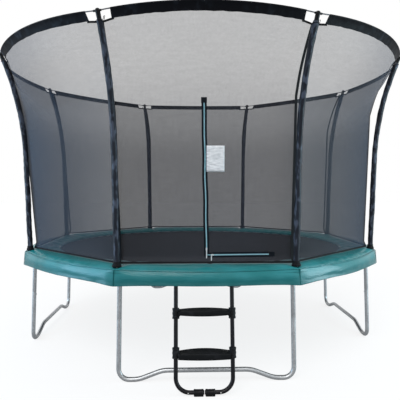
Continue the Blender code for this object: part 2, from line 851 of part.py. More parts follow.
def make_slider(name, place, along, across):
    """A zip slider and its pull, flat on the tape."""
    half = SLIDER_LENGTH / 2
    outline = (
        (-half, -SLIDER_WIDTH / 2),
        (-half, -PULL_WIDTH / 2),
        (-half - PULL_LENGTH, -PULL_WIDTH / 2),
        (-half - PULL_LENGTH, PULL_WIDTH / 2),
        (-half, PULL_WIDTH / 2),
        (-half, SLIDER_WIDTH / 2),
        (half, SLIDER_WIDTH / 2),
        (half, -SLIDER_WIDTH / 2),
    )
    shape = Shape()
    points = [place + along * a + across * b for a, b in outline]
    shape.extrude(points, Vector((0, -SLIDER_THICKNESS, 0)))
    return finish(name, shape, PALE_METAL, place, smooth=False)


def make_sliders():
    lift = NET_THICKNESS / 2 + TAPE_THICKNESS + 3 * GAP
    corner = front_point(*ZIP_CORNER, lift)
    up = (front_point(*ZIP_TOP, lift) - corner).normalized()
    aside = (front_point(*ZIP_END, lift) - corner).normalized()
    across_up = up.cross(Vector((0, 1, 0))).normalized()
    across_aside = Vector((0, NET_LEDGE_RADIUS - NET_BEND_RADIUS, NET_BEND - NET_LEDGE))
    across_aside = (across_aside - aside * across_aside.dot(aside)).normalized()
    make_slider("zip_slider_vertical", corner + up * SLIDER_LIFT, up, across_up)
    make_slider("zip_slider_horizontal", corner + aside * SLIDER_SETBACK, aside, across_aside)


def make_hem_cord():
    """The black cord at the net's foot, in one loop inside the poles."""
    outlines = []
    level = NET_HEM - 2 * GAP - flat(HEM_CORD, 6)
    for index in range(POLES):
        centre = plan(pole_angle(index), NET_HEM_RADIUS, level)
        out = plan(pole_angle(index), 1.0, 0)
        turns = [math.radians(60 * k) for k in range(6)]
        up = Vector((0, 0, 1))
        outlines.append(
            [centre + (out * math.cos(t) + up * math.sin(t)) * HEM_CORD for t in turns]
        )
    shape = Shape()
    shape.loft(outlines, around=True)
    return finish("net_hem_cord", shape, BLACK_CLOTH)


# Ladder


def ladder_line(side, height):
    """A rail's centre line: it leans out from under the skirt to the ground."""
    top_y, top_z = LADDER_TOP
    share = (top_z - height) / (top_z - FOOT_SLEEVE)
    across = LADDER_CENTRE + side * LADDER_HALF
    return Vector((across, top_y + (LADDER_FOOT - top_y) * share, height))


def rail_square(side):
    """The direction square to the plane that a rail is bent in."""
    along = (ladder_line(side, 0.0) - ladder_line(side, LADDER_TOP[1])).normalized()
    toward = Vector((0, 1, 0))
    return (toward - along * toward.dot(along)).normalized()


def hook_centre(side):
    """The ring's centre beside a rail, which the hook turns about."""
    return Vector((LADDER_CENTRE + side * LADDER_HALF, swing_axis(), RING_HEIGHT))


def ring_front(across):
    """Y of the ring's centre line where it crosses a place on the ladder's side."""
    path = rail_path(POLES - 1)
    for a, b in zip(path, path[1:]):
        if min(a.x, b.x) <= across <= max(a.x, b.x):
            return a.lerp(b, (across - a.x) / (b.x - a.x)).y
    return -RING_RADIUS


def swing_axis():
    """Y of the ladder's hinge, midway between the places where its hooks hold the ring."""
    left = ring_front(LADDER_CENTRE - LADDER_HALF)
    right = ring_front(LADDER_CENTRE + LADDER_HALF)
    return (left + right) / 2


def hook(side):
    """A band bent round the ring, long enough for its curve, with an arm into the rail."""
    shape = Shape()
    centre = hook_centre(side)
    inner = RAIL_TUBE + HOOK_PLAY
    outer = inner + HOOK_BAND
    out = Vector((0, -1, 0))
    up = Vector((0, 0, 1))
    foot = ladder_line(side, LADDER_TOP[1] - PLUG_LENGTH / 2)
    turns = [math.radians(200 - 190 * i / HOOK_SIDES) for i in range(HOOK_SIDES + 1)]
    arc = [out * math.cos(t) + up * math.sin(t) for t in turns]
    shifts = [out * (-HOOK_SLACK if t > math.pi / 2 else HOOK_SLACK) for t in turns]
    outline = [centre + shift + point * outer for point, shift in zip(arc, shifts)]
    outline += [foot + out * HOOK_BAND / 2, foot - out * HOOK_BAND / 2]
    inner_side = [centre + shift + point * inner for point, shift in zip(arc, shifts)]
    outline += inner_side[::-1]
    width = Vector((HOOK_WIDTH, 0, 0))
    shape.extrude([point - width / 2 for point in outline], width)
    return shape


def make_ladder_rail(side, name, pivot):
    shape = Shape()
    top = ladder_line(side, LADDER_TOP[1])
    corner = ladder_line(side, FOOT_SLEEVE)
    middle = Vector((LADDER_CENTRE, LADDER_FOOT, FOOT_SLEEVE))
    bend = fillet(top, corner, middle, LADDER_BEND, 4)
    end = middle + Vector((side * 0.002, 0, 0))
    path = [top] + bend + [end]
    shape.tube(path, LADDER_TUBE, TUBE_WALL, TUBE_SIDES, Vector((0, 1, 0)))
    rail = finish(name, shape, BLACK_STEEL, pivot.location, pivot)
    plug = Shape()
    down = (path[1] - top).normalized()
    ends = [top - down * 0.0005, top + down * PLUG_LENGTH]
    plug.rod(ends, LADDER_TUBE - TUBE_WALL / 2, TUBE_SIDES, Vector((0, 1, 0)))
    combine(rail, cutter(f"{name}_plug", plug), "UNION")
    combine(rail, cutter(f"{name}_hook", hook(side)), "UNION")
    return rail


def make_step(name, height, pivot):
    """A bowed step moulded in one piece with the two clamps that hold the rails."""
    shape = Shape()
    ends = [ladder_line(side, height) for side in (-1, 1)]
    reach = LADDER_HALF - LADDER_TUBE - STEP_CLAMP_PLAY - 0.003
    middle = (ends[0] + ends[1]) / 2
    half_depth = STEP_DEPTH / 2
    half_tall = STEP_THICKNESS / 2
    section = ((-1, -0.5), (-0.85, -1), (0.85, -1), (1, -0.5), (1, 0.6), (-1, 0.6))
    outlines = []
    for i in range(7):
        share = -1 + 2 * i / 6
        arch = 1 - share * share
        centre = middle + Vector((share * reach, 0, -STEP_SAG * arch))
        back = STEP_BOW * arch
        outlines.append(
            [
                centre + Vector((0, y * half_depth + max(y, 0) * back, z * half_tall))
                for y, z in section
            ]
        )
    shape.loft(outlines)
    step = finish(name, shape, BLACK_PLASTIC, pivot.location, pivot)
    clamps = Shape()
    for side in (-1, 1):
        path = [
            ladder_line(side, height - STEP_CLAMP_TALL / 2),
            ladder_line(side, height + STEP_CLAMP_TALL / 2),
        ]
        bore = LADDER_TUBE + STEP_CLAMP_PLAY
        clamps.tube(path, STEP_CLAMP, STEP_CLAMP - bore, TUBE_SIDES, Vector((0, 1, 0)))
    combine(step, cutter(f"{name}_clamps", clamps), "UNION")
    return step


def make_ladder_foot(side, name, pivot):
    """A sleeve with a flat below, round the tube's lowest stretch."""
    middle = LADDER_CENTRE + side * FOOT_SLEEVE_OFFSET
    half = FOOT_SLEEVE_LENGTH / 2
    path = [Vector((middle + s * half, LADDER_FOOT, FOOT_SLEEVE)) for s in (-1, 1)]
    radius = FOOT_SLEEVE / math.cos(math.pi / TUBE_SIDES)
    outer = outlines_along(path, radius, TUBE_SIDES, Vector((0, 1, 0)))
    bore = LADDER_TUBE + STEP_CLAMP_PLAY
    inner = outlines_along(path, bore, TUBE_SIDES, rail_square(side))
    shape = Shape()
    shape.loft(outer + inner[::-1], around=True)
    return finish(name, shape, BLACK_PLASTIC, pivot.location, pivot)


def make_ladder():
    pivot = empty("ladder_pivot", Vector((LADDER_CENTRE, swing_axis(), RING_HEIGHT)))
    make_ladder_rail(-1, "ladder_rail_left", pivot)
    make_ladder_rail(1, "ladder_rail_right", pivot)
    make_step("ladder_step_upper", STEP_HEIGHTS[0], pivot)
    make_step("ladder_step_lower", STEP_HEIGHTS[1], pivot)
    make_ladder_foot(-1, "ladder_foot_left", pivot)
    make_ladder_foot(1, "ladder_foot_right", pivot)


def build():
    for obj in list(bpy.data.objects):
        bpy.data.objects.remove(obj)
    for index in range(POLES):
        make_rail(index)
        make_socket(index)
        make_upright(index)
        make_pole(index)
        make_sleeve(index)
    for leg in range(POLES // 2):
        make_base(leg)
    make_mat(empty("mat_centre", Vector((0, 0, MAT_HEIGHT))))
    make_springs()
    make_pad()
    make_top_rim()
    make_net()
    make_door(empty("door_hinge", front_point(*ZIP_TOP)))
    make_zip()
    make_sliders()
    make_hem_cord()
    make_ladder()


build()
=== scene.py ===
"""A round garden trampoline with its safety net and ladder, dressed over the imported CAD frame.

Plan angles are counted from the door's side, -Y, towards +X, as in the part's source.
"""

import json
import math

import bmesh
import bpy
import numpy as np
from mathutils import Matrix, Vector, noise

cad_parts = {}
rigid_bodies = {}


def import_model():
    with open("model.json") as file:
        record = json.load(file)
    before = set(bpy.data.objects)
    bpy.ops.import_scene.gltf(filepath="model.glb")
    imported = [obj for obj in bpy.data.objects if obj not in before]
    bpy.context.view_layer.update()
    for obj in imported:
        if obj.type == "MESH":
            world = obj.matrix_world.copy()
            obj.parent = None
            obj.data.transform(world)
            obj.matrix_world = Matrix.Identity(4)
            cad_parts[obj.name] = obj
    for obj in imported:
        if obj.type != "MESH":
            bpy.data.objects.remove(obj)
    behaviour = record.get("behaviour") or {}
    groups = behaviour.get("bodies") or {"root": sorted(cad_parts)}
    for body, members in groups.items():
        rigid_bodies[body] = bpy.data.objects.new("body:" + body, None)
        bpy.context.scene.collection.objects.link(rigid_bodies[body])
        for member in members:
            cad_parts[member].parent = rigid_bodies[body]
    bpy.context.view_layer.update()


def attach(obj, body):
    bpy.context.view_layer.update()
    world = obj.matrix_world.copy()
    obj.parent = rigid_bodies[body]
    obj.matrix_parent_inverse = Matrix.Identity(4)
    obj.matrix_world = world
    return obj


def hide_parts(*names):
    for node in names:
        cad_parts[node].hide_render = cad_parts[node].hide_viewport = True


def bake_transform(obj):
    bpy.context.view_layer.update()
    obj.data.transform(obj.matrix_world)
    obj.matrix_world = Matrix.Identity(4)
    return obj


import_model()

scene = bpy.context.scene
for left_over in [obj for obj in scene.objects if obj.name in ("Cube", "Light", "Camera")]:
    bpy.data.objects.remove(left_over)

# ---------------------------------------------------------------------------------------------
# Studio: a white room with a pale floor, a broad soft key light from the front and two cool
# side panels that glint on the vinyl. The camera stands before the door, level with a grown-up's
# eyes, and looks at the middle of the net.

CAMERA_PLACE = Vector((-0.1737, -5.3492, 1.5515))
CAMERA_LENS = 41.5
CAMERA_TURN = math.radians(-1.86)
CAMERA_TILT = math.radians(-1.6)
FLOOR_WHITE = (0.18, 0.18, 0.182, 1.0)
FLOOR_GLOW = 0.815
FLOOR_SHINE = 0.40
FLOOR_HALF = 40
FLOOR_GAP = 0.0005


class Socket:
    """A node's output, which adds a Math node when it is used in a sum."""

    def __init__(self, wiring, socket):
        self.wiring = wiring
        self.socket = socket

    def maths(self, operation, *values):
        settings = {"operation": operation}
        return self.wiring.node("ShaderNodeMath", settings, dict(enumerate(values)))

    def __add__(self, other):
        return self.maths("ADD", self, other)

    def __sub__(self, other):
        return self.maths("SUBTRACT", self, other)

    def __rsub__(self, other):
        return self.maths("SUBTRACT", other, self)

    def __mul__(self, other):
        return self.maths("MULTIPLY", self, other)

    __radd__ = __add__
    __rmul__ = __mul__

    def between(self, low, high):
        """0 below low, 1 above high and smooth in between."""
        values = {"Value": self, "From Min": low, "From Max": high}
        return self.wiring.node("ShaderNodeMapRange", {"interpolation_type": "SMOOTHSTEP"}, values)


class Wiring:
    """Adds nodes to one tree and links them."""

    def __init__(self, tree):
        self.tree = tree

    def node(self, kind, settings=None, values=None, output=0):
        made = self.tree.nodes.new(kind)
        for name, value in (settings or {}).items():
            setattr(made, name, value)
        for name, value in (values or {}).items():
            if isinstance(value, Socket):
                self.tree.links.new(value.socket, made.inputs[name])
            else:
                made.inputs[name].default_value = value
        return Socket(self, made.outputs[output])

    def ray(self, kind):
        return self.node("ShaderNodeLightPath", output=f"Is {kind} Ray")


def lit_room():
    """White wherever the camera or a reflection sees it, and a plain soft light elsewhere."""
    world = bpy.data.worlds.new("white_room")
    scene.world = world
    world.use_nodes = True
    wiring = Wiring(world.node_tree)
    seen = wiring.ray("Camera")
    glossy = wiring.ray("Glossy")
    through = wiring.ray("Transmission")
    shown = seen.maths("MAXIMUM", seen, glossy.maths("MAXIMUM", glossy, through))
    soft = wiring.node("ShaderNodeBackground", {}, {"Color": (0.93, 0.97, 1, 1), "Strength": 0.62})
    white = wiring.node("ShaderNodeBackground", {}, {"Color": (1, 1, 1, 1), "Strength": 1.0})
    both = wiring.node("ShaderNodeMixShader", {}, {0: shown, 1: soft, 2: white})
    wiring.tree.links.new(both.socket, world.node_tree.nodes["World Output"].inputs["Surface"])


def lamp(name, kind, place, aim, power, colour, size):
    data = bpy.data.lights.new(name, kind)
    data.energy = power
    data.color = colour
    if kind == "AREA":
        data.size = size
    else:
        data.angle = size
    light = bpy.data.objects.new(name, data)
    scene.collection.objects.link(light)
    light.location = place
    light.rotation_euler = (Vector(aim) - Vector(place)).to_track_quat("-Z", "Y").to_euler()


lit_room()
lamp("key", "SUN", (-1.5, -4.0, 5.0), (0, 0, 0.6), 1.35, (1, 0.99, 0.97), math.radians(35))
lamp("left_panel", "AREA", (-6.0, -2.2, 1.6), (-1.5, -0.6, 0.9), 185, (0.46, 0.74, 1.0), 2.6)
lamp("right_panel", "AREA", (6.0, -2.6, 1.6), (1.5, -0.6, 0.9), 225, (0.64, 0.90, 1.0), 2.6)

camera = bpy.data.objects.new("camera", bpy.data.cameras.new("camera"))
scene.collection.objects.link(camera)
scene.camera = camera
camera.data.lens = CAMERA_LENS
camera.data.sensor_width = 36
camera.location = CAMERA_PLACE
camera.rotation_euler = (math.pi / 2 + CAMERA_TILT, 0, CAMERA_TURN)
scene.view_settings.view_transform = "Standard"

floor_mesh = bpy.data.meshes.new("floor")
floor_corners = [(-1, -1), (1, -1), (1, 1), (-1, 1)]
floor_corners = [(FLOOR_HALF * x, FLOOR_HALF * y, 0) for x, y in floor_corners]
floor_mesh.from_pydata(floor_corners, [], [(0, 1, 2, 3)])
floor = bpy.data.objects.new("floor", floor_mesh)
floor.location.z = -FLOOR_GAP
scene.collection.objects.link(floor)
floor_paint = bpy.data.materials.new("pale_floor")
floor_paint.use_nodes = True
floor_wiring = Wiring(floor_paint.node_tree)
floor_shader = floor_paint.node_tree.nodes["Principled BSDF"]
floor_shader.inputs["Base Color"].default_value = FLOOR_WHITE
floor_shader.inputs["Roughness"].default_value = 0.9
floor_shader.inputs["Specular IOR Level"].default_value = 0.1
floor_shader.inputs["Emission Color"].default_value = (1, 1, 1, 1)
seen_floor = floor_wiring.ray("Camera")
mirrored = floor_wiring.ray("Glossy") * FLOOR_SHINE
seen_floor = seen_floor.maths("MAXIMUM", seen_floor, mirrored) * FLOOR_GLOW
floor_paint.node_tree.links.new(seen_floor.socket, floor_shader.inputs["Emission Strength"])
floor_mesh.materials.append(floor_paint)

# ---------------------------------------------------------------------------------------------
# Steel frame: eight curved ring rails in welded T-sockets, eight uprights and four W-shaped
# bases, all bent from hot-dip galvanised tube with a grey spangle. The rails push into the
# sockets, the uprights are swaged into the bases, and hexagon screws hold every joint.

POLES = 8
SECTOR = math.radians(360 / POLES)
HALF = SECTOR / 2
UP = Vector((0, 0, 1))
RING_RADIUS = 1.812
RING_HEIGHT = 0.870
RAIL_TUBE = 0.021
SOCKET_REACH = 0.075
SOCKET_TUBE = 0.0265
STUB_TUBE = 0.0225
STUB_DROP = 0.080
LEG_TUBE = 0.019
FOOT_RADIUS = 1.840
JOINT_HEIGHT = 0.500
FOOT_BEND = 0.085
LOW_STRETCH = 0.075
BAR_HEIGHT = 0.090
BAR_INSET = 0.350
BAR_BEND = 0.250
POLE_RADIUS = 1.857
POLE_TUBE = 0.014
CLAMP_LEVELS = (0.870, 0.812)
CLAMP_REACH = POLE_TUBE + 0.004
WELD_STEPS = 28


def polar(angle, radius, height=0.0):
    return Vector((radius * math.sin(angle), -radius * math.cos(angle), height))


def across(angle):
    """Along the ring at a plan angle."""
    return Vector((math.cos(angle), math.sin(angle), 0))


def pole_angle(index):
    return HALF + index * SECTOR


def full_turn(count):
    """Evenly spaced angles round a circle."""
    return [2 * math.pi * step / count for step in range(count)]


class Finish(Wiring):
    """A procedural material for one of the trampoline's surfaces."""

    def __init__(self, name, colour, roughness, metallic=0.0, specular=0.5):
        self.material = bpy.data.materials.new(name)
        self.material.use_nodes = True
        super().__init__(self.material.node_tree)
        self.shader = self.tree.nodes["Principled BSDF"]
        self.place = self.node("ShaderNodeTexCoord", output="Object")
        self.put("Base Color", (*colour, 1.0))
        self.put("Roughness", roughness)
        self.put("Metallic", metallic)
        self.put("Specular IOR Level", specular)
        self.material.diffuse_color = (*colour, 1.0)

    def put(self, name, value):
        if isinstance(value, Socket):
            self.tree.links.new(value.socket, self.shader.inputs[name])
        else:
            self.shader.inputs[name].default_value = value

    def stretched(self, x, y, z):
        values = {"Vector": self.place, "Scale": (x, y, z)}
        return self.node("ShaderNodeMapping", {}, values)

    def clouds(self, scale, detail=2.0, place=None):
        values = {"Vector": place or self.place, "Scale": scale, "Detail": detail}
        return self.node("ShaderNodeTexNoise", {}, values, "Fac")

    def blended(self, amount, first, second):
        """From a colour, or another blend, towards a second colour."""
        start = first if isinstance(first, Socket) else (*first, 1.0)
        values = {0: amount, 6: start, 7: (*second, 1.0)}
        return self.node("ShaderNodeMix", {"data_type": "RGBA"}, values, 2)

    def along(self, axis):
        """The place along one of the object's axes."""
        return self.node("ShaderNodeSeparateXYZ", {}, {0: self.place}, axis)

    def ridges(self, scale, direction, place=None):
        values = {"Vector": place or self.place, "Scale": scale}
        settings = {"wave_type": "BANDS", "bands_direction": direction}
        return self.node("ShaderNodeTexWave", settings, values, "Fac")

    def bumped(self, height, distance, strength=1.0):
        values = {"Height": height, "Distance": distance, "Strength": strength}
        self.put("Normal", self.node("ShaderNodeBump", {}, values))


def galvanised(name, dark, light, rough):
    """Zinc crystals a few millimetres wide, each with its own grey, under a dull bloom."""
    zinc = Finish(name, light, rough, metallic=0.9)
    cell = {"Vector": zinc.place, "Scale": 140.0}
    crystal = zinc.node("ShaderNodeTexVoronoi", {}, cell, "Color")
    tone = zinc.node("ShaderNodeSeparateColor", {}, {0: crystal})
    bloom = zinc.clouds(9.0, 3.0)
    zinc.put("Base Color", zinc.blended(tone * 0.45 + bloom * 0.55, dark, light))
    zinc.put("Roughness", rough + tone * 0.1 + bloom * 0.12)
    zinc.bumped(tone * 0.5 + zinc.clouds(60.0), 0.0004, 0.5)
    return zinc.material


class Recipe(Wiring):
    """A Geometry Nodes tree with named inputs, whose result is kept as a plain mesh."""

    KINDS = {"Sides": "Int", "Finish": "Material", "Pattern": "Object"}

    def __init__(self, name, *inputs):
        super().__init__(bpy.data.node_groups.new(name, "GeometryNodeTree"))
        sockets = self.tree.interface
        sockets.new_socket("Path", in_out="INPUT", socket_type="NodeSocketGeometry")
        sockets.new_socket("Shape", in_out="OUTPUT", socket_type="NodeSocketGeometry")
        self.keys = {}
        for label in (*inputs, "Finish"):
            kind = "NodeSocket" + self.KINDS.get(label, "Float")
            made = sockets.new_socket(label, in_out="INPUT", socket_type=kind)
            self.keys[label] = made.identifier
        self.given = self.tree.nodes.new("NodeGroupInput")

    def input(self, label):
        return Socket(self, self.given.outputs[label])

    def named(self, label, kind="FLOAT"):
        return self.node("GeometryNodeInputNamedAttribute", {"data_type": kind}, {"Name": label})

    def end(self, shape):
        shape = self.node("GeometryNodeRealizeInstances", {}, {"Geometry": shape})
        values = {"Geometry": shape, "Material": self.input("Finish")}
        shape = self.node("GeometryNodeSetMaterial", {}, values)
        self.tree.links.new(shape.socket, self.tree.nodes.new("NodeGroupOutput").inputs[0])

    def make(self, source, **values):
        """Runs the tree on a mesh of points and edges, and returns the plain mesh."""
        holder = bpy.data.objects.new("holder", source)
        scene.collection.objects.link(holder)
        modifier = holder.modifiers.new("recipe", "NODES")
        modifier.node_group = self.tree
        for label, value in values.items():
            modifier[self.keys[label]] = value
        graph = bpy.context.evaluated_depsgraph_get()
        mesh = bpy.data.meshes.new_from_object(holder.evaluated_get(graph))
        holder.modifiers.remove(modifier)
        bpy.data.objects.remove(holder)
        return mesh


def swept_recipe():
    """Sweeps a circle along every path, as wide at each point as its width says."""
    recipe = Recipe("swept_tube", "Sides")
    curve = recipe.node("GeometryNodeMeshToCurve", {}, {"Mesh": recipe.input("Path")})
    circle = {"Resolution": recipe.input("Sides"), "Radius": 1.0}
    profile = recipe.node("GeometryNodeCurvePrimitiveCircle", {}, circle)
    values = {"Curve": curve, "Profile Curve": profile, "Fill Caps": True}
    values["Scale"] = recipe.named("width")
    recipe.end(recipe.node("GeometryNodeCurveToMesh", {}, values))
    return recipe


def seated_recipe():
    """Sets a copy of the pattern on every seat, its X along facing and its Z along upward."""
    recipe = Recipe("seated_copies", "Pattern")
    pattern = recipe.node("GeometryNodeObjectInfo", {}, {"Object": recipe.input("Pattern")}, 4)
    axes = {"Primary Axis": recipe.named("facing", "FLOAT_VECTOR")}
    axes["Secondary Axis"] = recipe.named("upward", "FLOAT_VECTOR")
    turned = {"primary_axis": "X", "secondary_axis": "Z"}
    turn = recipe.node("FunctionNodeAxesToRotation", turned, axes)
    values = {"Points": recipe.input("Path"), "Instance": pattern, "Rotation": turn}
    recipe.end(recipe.node("GeometryNodeInstanceOnPoints", {}, values))
    return recipe


SWEPT = swept_recipe()
SEATED = seated_recipe()


def path_mesh(paths, closed=False):
    """Points and edges with their widths, from paths of (point, width) pairs."""
    points, widths, edges = [], [], []
    for path in paths:
        first = len(points)
        points += [tuple(point) for point, _ in path]
        widths += [width for _, width in path]
        edges += [(i, i + 1) for i in range(first, len(points) - 1)]
        if closed:
            edges.append((len(points) - 1, first))
    mesh = bpy.data.meshes.new("path")
    mesh.from_pydata(points, edges, [])
    mesh.attributes.new("width", "FLOAT", "POINT").data.foreach_set("value", widths)
    return mesh


def put_out(name, mesh, body, nodes=(), sharp=40, repair=True):
    """Turns a mesh in place into a finished piece that rides on a body."""
    if repair:
        work = bmesh.new()
        work.from_mesh(mesh)
        bmesh.ops.recalc_face_normals(work, faces=work.faces[:])
        work.to_mesh(mesh)
        work.free()
    for extra in ("width", "facing", "upward"):
        if extra in mesh.attributes:
            mesh.attributes.remove(mesh.attributes[extra])
    mesh.shade_smooth()
    if sharp:
        mesh.set_sharp_from_angle(angle=math.radians(sharp))
    obj = bpy.data.objects.new(name, mesh)
    scene.collection.objects.link(obj)
    if body:
        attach(obj, body)
    if nodes:
        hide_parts(*nodes)
    return obj


def tube_mesh(paths, sides, finish, closed=False):
    return SWEPT.make(path_mesh(paths, closed), Sides=sides, Finish=finish)


def tubes(name, paths, sides, finish, body, nodes=(), closed=False):
    """Round tubes along their centre lines, as one piece."""
    return put_out(name, tube_mesh(paths, sides, finish, closed), body, nodes)


def solid_mesh(points, faces, finish):
    mesh = bpy.data.meshes.new("solid")
    mesh.from_pydata([tuple(point) for point in points], [], faces)
    mesh.materials.append(finish)
    mesh.update()
    return mesh


def lathed(profile):
    """A turned shape's centre line along X, from pairs of place and width."""
    return [(Vector((x, 0, 0)), width) for x, width in profile]


def seated(name, pattern, seats, finish, body, nodes=()):
    """Copies of a pattern mesh on seats of (point, facing, upward), as one piece."""
    mesh = bpy.data.meshes.new("seats")
    mesh.from_pydata([tuple(seat[0]) for seat in seats], [], [])
    for place, label in enumerate(("facing", "upward"), 1):
        values = [number for seat in seats for number in seat[place]]
        mesh.attributes.new(label, "FLOAT_VECTOR", "POINT").data.foreach_set("vector", values)
    holder = bpy.data.objects.new("pattern", pattern)
    scene.collection.objects.link(holder)
    made = SEATED.make(mesh, Pattern=holder, Finish=finish)
    bpy.data.objects.remove(holder)
    return put_out(name, made, body, nodes)


def joined(*meshes):
    """Several meshes as one, which take the first one's finish."""
    work = bmesh.new()
    for mesh in meshes:
        work.from_mesh(mesh)
    made = bpy.data.meshes.new("joined")
    work.to_mesh(made)
    work.free()
    for face in made.polygons:
        face.material_index = 0
    made.materials.append(meshes[0].materials[0])
    return made


def rounded(before, corner, after, radius, steps):
    """Points of a bend that replaces a corner."""
    first = (before - corner).normalized()
    second = (after - corner).normalized()
    half = first.angle(second) / 2
    centre = corner + (first + second).normalized() * radius / math.sin(half)
    start = corner + first * radius / math.tan(half) - centre
    axis = start.cross(corner - centre).normalized()
    turn = math.pi - 2 * half
    return [centre + Matrix.Rotation(turn * i / steps, 3, axis) @ start for i in range(steps + 1)]


def rail_path(index):
    start = pole_angle(index)
    end = start + SECTOR
    leave = polar(start, RING_RADIUS, RING_HEIGHT)
    arrive = polar(end, RING_RADIUS, RING_HEIGHT)
    turn = [start + SECTOR * (0.1 + 0.8 * i / 14) for i in range(15)]
    path = [leave + across(start) * 0.010, leave + across(start) * SOCKET_REACH]
    path += [polar(angle, RING_RADIUS, RING_HEIGHT) for angle in turn]
    path += [arrive - across(end) * SOCKET_REACH, arrive - across(end) * 0.010]
    return path


def leg_line(index, height):
    share = (RING_HEIGHT - height) / RING_HEIGHT
    reach = RING_RADIUS + (FOOT_RADIUS - RING_RADIUS) * share
    return polar(pole_angle(index), reach, height)


def base_path(leg):
    """Down one side of the W, round its low corner, up to the middle bar and down again."""
    inward = across(leg * SECTOR * 2)

    def side(index, toward):
        joint = leg_line(index, JOINT_HEIGHT)
        corner = leg_line(index, LEG_TUBE)
        rise = corner + toward * (FOOT_BEND + LOW_STRETCH)
        bar = corner + toward * BAR_INSET + UP * (BAR_HEIGHT - LEG_TUBE)
        path = [joint] + rounded(joint, corner, rise, FOOT_BEND, 9)
        path += rounded(corner, rise, bar, BAR_BEND, 5)
        return path + rounded(rise, bar, bar + toward, BAR_BEND, 5)

    return side(2 * leg - 1, inward) + side(2 * leg, -inward)[::-1]


def box_mesh(centre, first, second, third, bevel, finish):
    """A box from its centre and its three half sides, with rounded edges."""
    signs = [(a, b, c) for a in (-1, 1) for b in (-1, 1) for c in (-1, 1)]
    work = bmesh.new()
    corners = [work.verts.new(centre + first * a + second * b + third * c) for a, b, c in signs]
    sides = ((0, 1, 3, 2), (4, 6, 7, 5), (0, 4, 5, 1), (2, 3, 7, 6), (0, 2, 6, 4), (1, 5, 7, 3))
    for side in sides:
        work.faces.new([corners[i] for i in side])
    bmesh.ops.bevel(work, geom=work.edges[:], offset=bevel, segments=2, affect="EDGES")
    mesh = bpy.data.meshes.new("box")
    work.to_mesh(mesh)
    work.free()
    mesh.materials.append(finish)
    return mesh


ZINC = galvanised("galvanised_tube_finish", (0.30, 0.31, 0.325), (0.56, 0.57, 0.58), 0.30)
BRIGHT_ZINC = galvanised("plated_screw_finish", (0.46, 0.46, 0.47), (0.74, 0.74, 0.75), 0.22)

for number in range(1, POLES + 1):
    rail = [(point, RAIL_TUBE) for point in rail_path(number - 1)]
    node = f"ring_rail_{number}"
    tubes(f"rail_{number}", [rail], 24, ZINC, "frame", [node])
    high = leg_line(number - 1, RING_HEIGHT - RAIL_TUBE - 0.004)
    joint = leg_line(number - 1, JOINT_HEIGHT)
    rise = (high - joint).normalized()
    neck = [(joint - rise * 0.02, 0.0172), (joint, 0.0172), (joint + rise * 0.006, LEG_TUBE)]
    node = f"leg_upright_{number}"
    upright = [*neck, (high, LEG_TUBE)]
    tubes(f"upright_{number}", [upright], 24, ZINC, "frame", [node])

for leg in range(POLES // 2):
    base = [(point, LEG_TUBE) for point in base_path(leg)]
    node = f"w_base_{leg + 1}"
    tubes(f"leg_base_{leg + 1}", [base], 24, ZINC, "frame", [node])

for index in range(POLES):
    angle = pole_angle(index)
    out = polar(angle, 1)
    along = across(angle)
    centre = polar(angle, RING_RADIUS, RING_HEIGHT)
    mouth, shoulder = SOCKET_REACH, SOCKET_REACH - 0.0015
    sleeve = [
        (centre + along * x, RAIL_TUBE + 0.001 if abs(x) == mouth else SOCKET_TUBE)
        for x in (-mouth, -shoulder, shoulder, mouth)
    ]
    low = leg_line(index, RING_HEIGHT - STUB_DROP)
    down = (low - centre).normalized()
    stub = [(centre, STUB_TUBE), (low - down * 0.001, STUB_TUBE), (low, STUB_TUBE - 0.001)]
    weld = []
    for step, turn in enumerate(full_turn(WELD_STEPS)):
        arm = along * math.cos(turn) + out * math.sin(turn)
        level = math.sqrt(SOCKET_TUBE**2 - (math.sin(turn) * STUB_TUBE) ** 2)
        bead = 0.0028 + 0.0006 * math.sin(step * 2.4)
        weld.append((centre + arm * STUB_TUBE - UP * level, bead))
    depth = (POLE_RADIUS - RING_RADIUS + CLAMP_REACH) / 2
    parts = [tube_mesh([sleeve, stub], 28, ZINC), tube_mesh([weld], 6, ZINC, closed=True)]
    for level in CLAMP_LEVELS:
        middle = polar(angle, RING_RADIUS + depth, level)
        parts.append(box_mesh(middle, out * depth, along * 0.020, UP * 0.012, 0.004, ZINC))
    node = f"ring_t_socket_{index + 1}"
    put_out(f"t_socket_{index + 1}", joined(*parts), "frame", [node])

hexagon = lathed(((0, 0.0058), (0.0038, 0.0058), (0.0044, 0.005)))
flange = lathed(((-0.003, 0.0078), (0.0006, 0.0078), (0.0012, 0.007)))
screw = joined(tube_mesh([hexagon], 6, BRIGHT_ZINC), tube_mesh([flange], 14, BRIGHT_ZINC))
seats = []
for index in range(POLES):
    out = polar(pole_angle(index), 1)
    along = across(pole_angle(index))
    for level in CLAMP_LEVELS:
        seats.append((polar(pole_angle(index), POLE_RADIUS + CLAMP_REACH, level), out, UP))
    for side in (-1, 1):
        ring = polar(pole_angle(index), RING_RADIUS, RING_HEIGHT) + along * side * 0.050
        seats.append((ring - out * SOCKET_TUBE, -out, UP))
    seats.append((leg_line(index, 0.805) - out * STUB_TUBE, -out, UP))
    seats.append((leg_line(index, JOINT_HEIGHT - 0.022) - out * LEG_TUBE, -out, UP))
seated("frame_screws", screw, seats, BRIGHT_ZINC, "frame")

# ---------------------------------------------------------------------------------------------
# Springs and jump mat: zinc-plated coil springs, tapered to a hook at each end, pull a disc of
# black woven polypropylene taut. Triangular wire rings hang in webbing tabs that are sewn into
# the mat's folded hem. Each piece of four springs stretches between the ring and the mat.

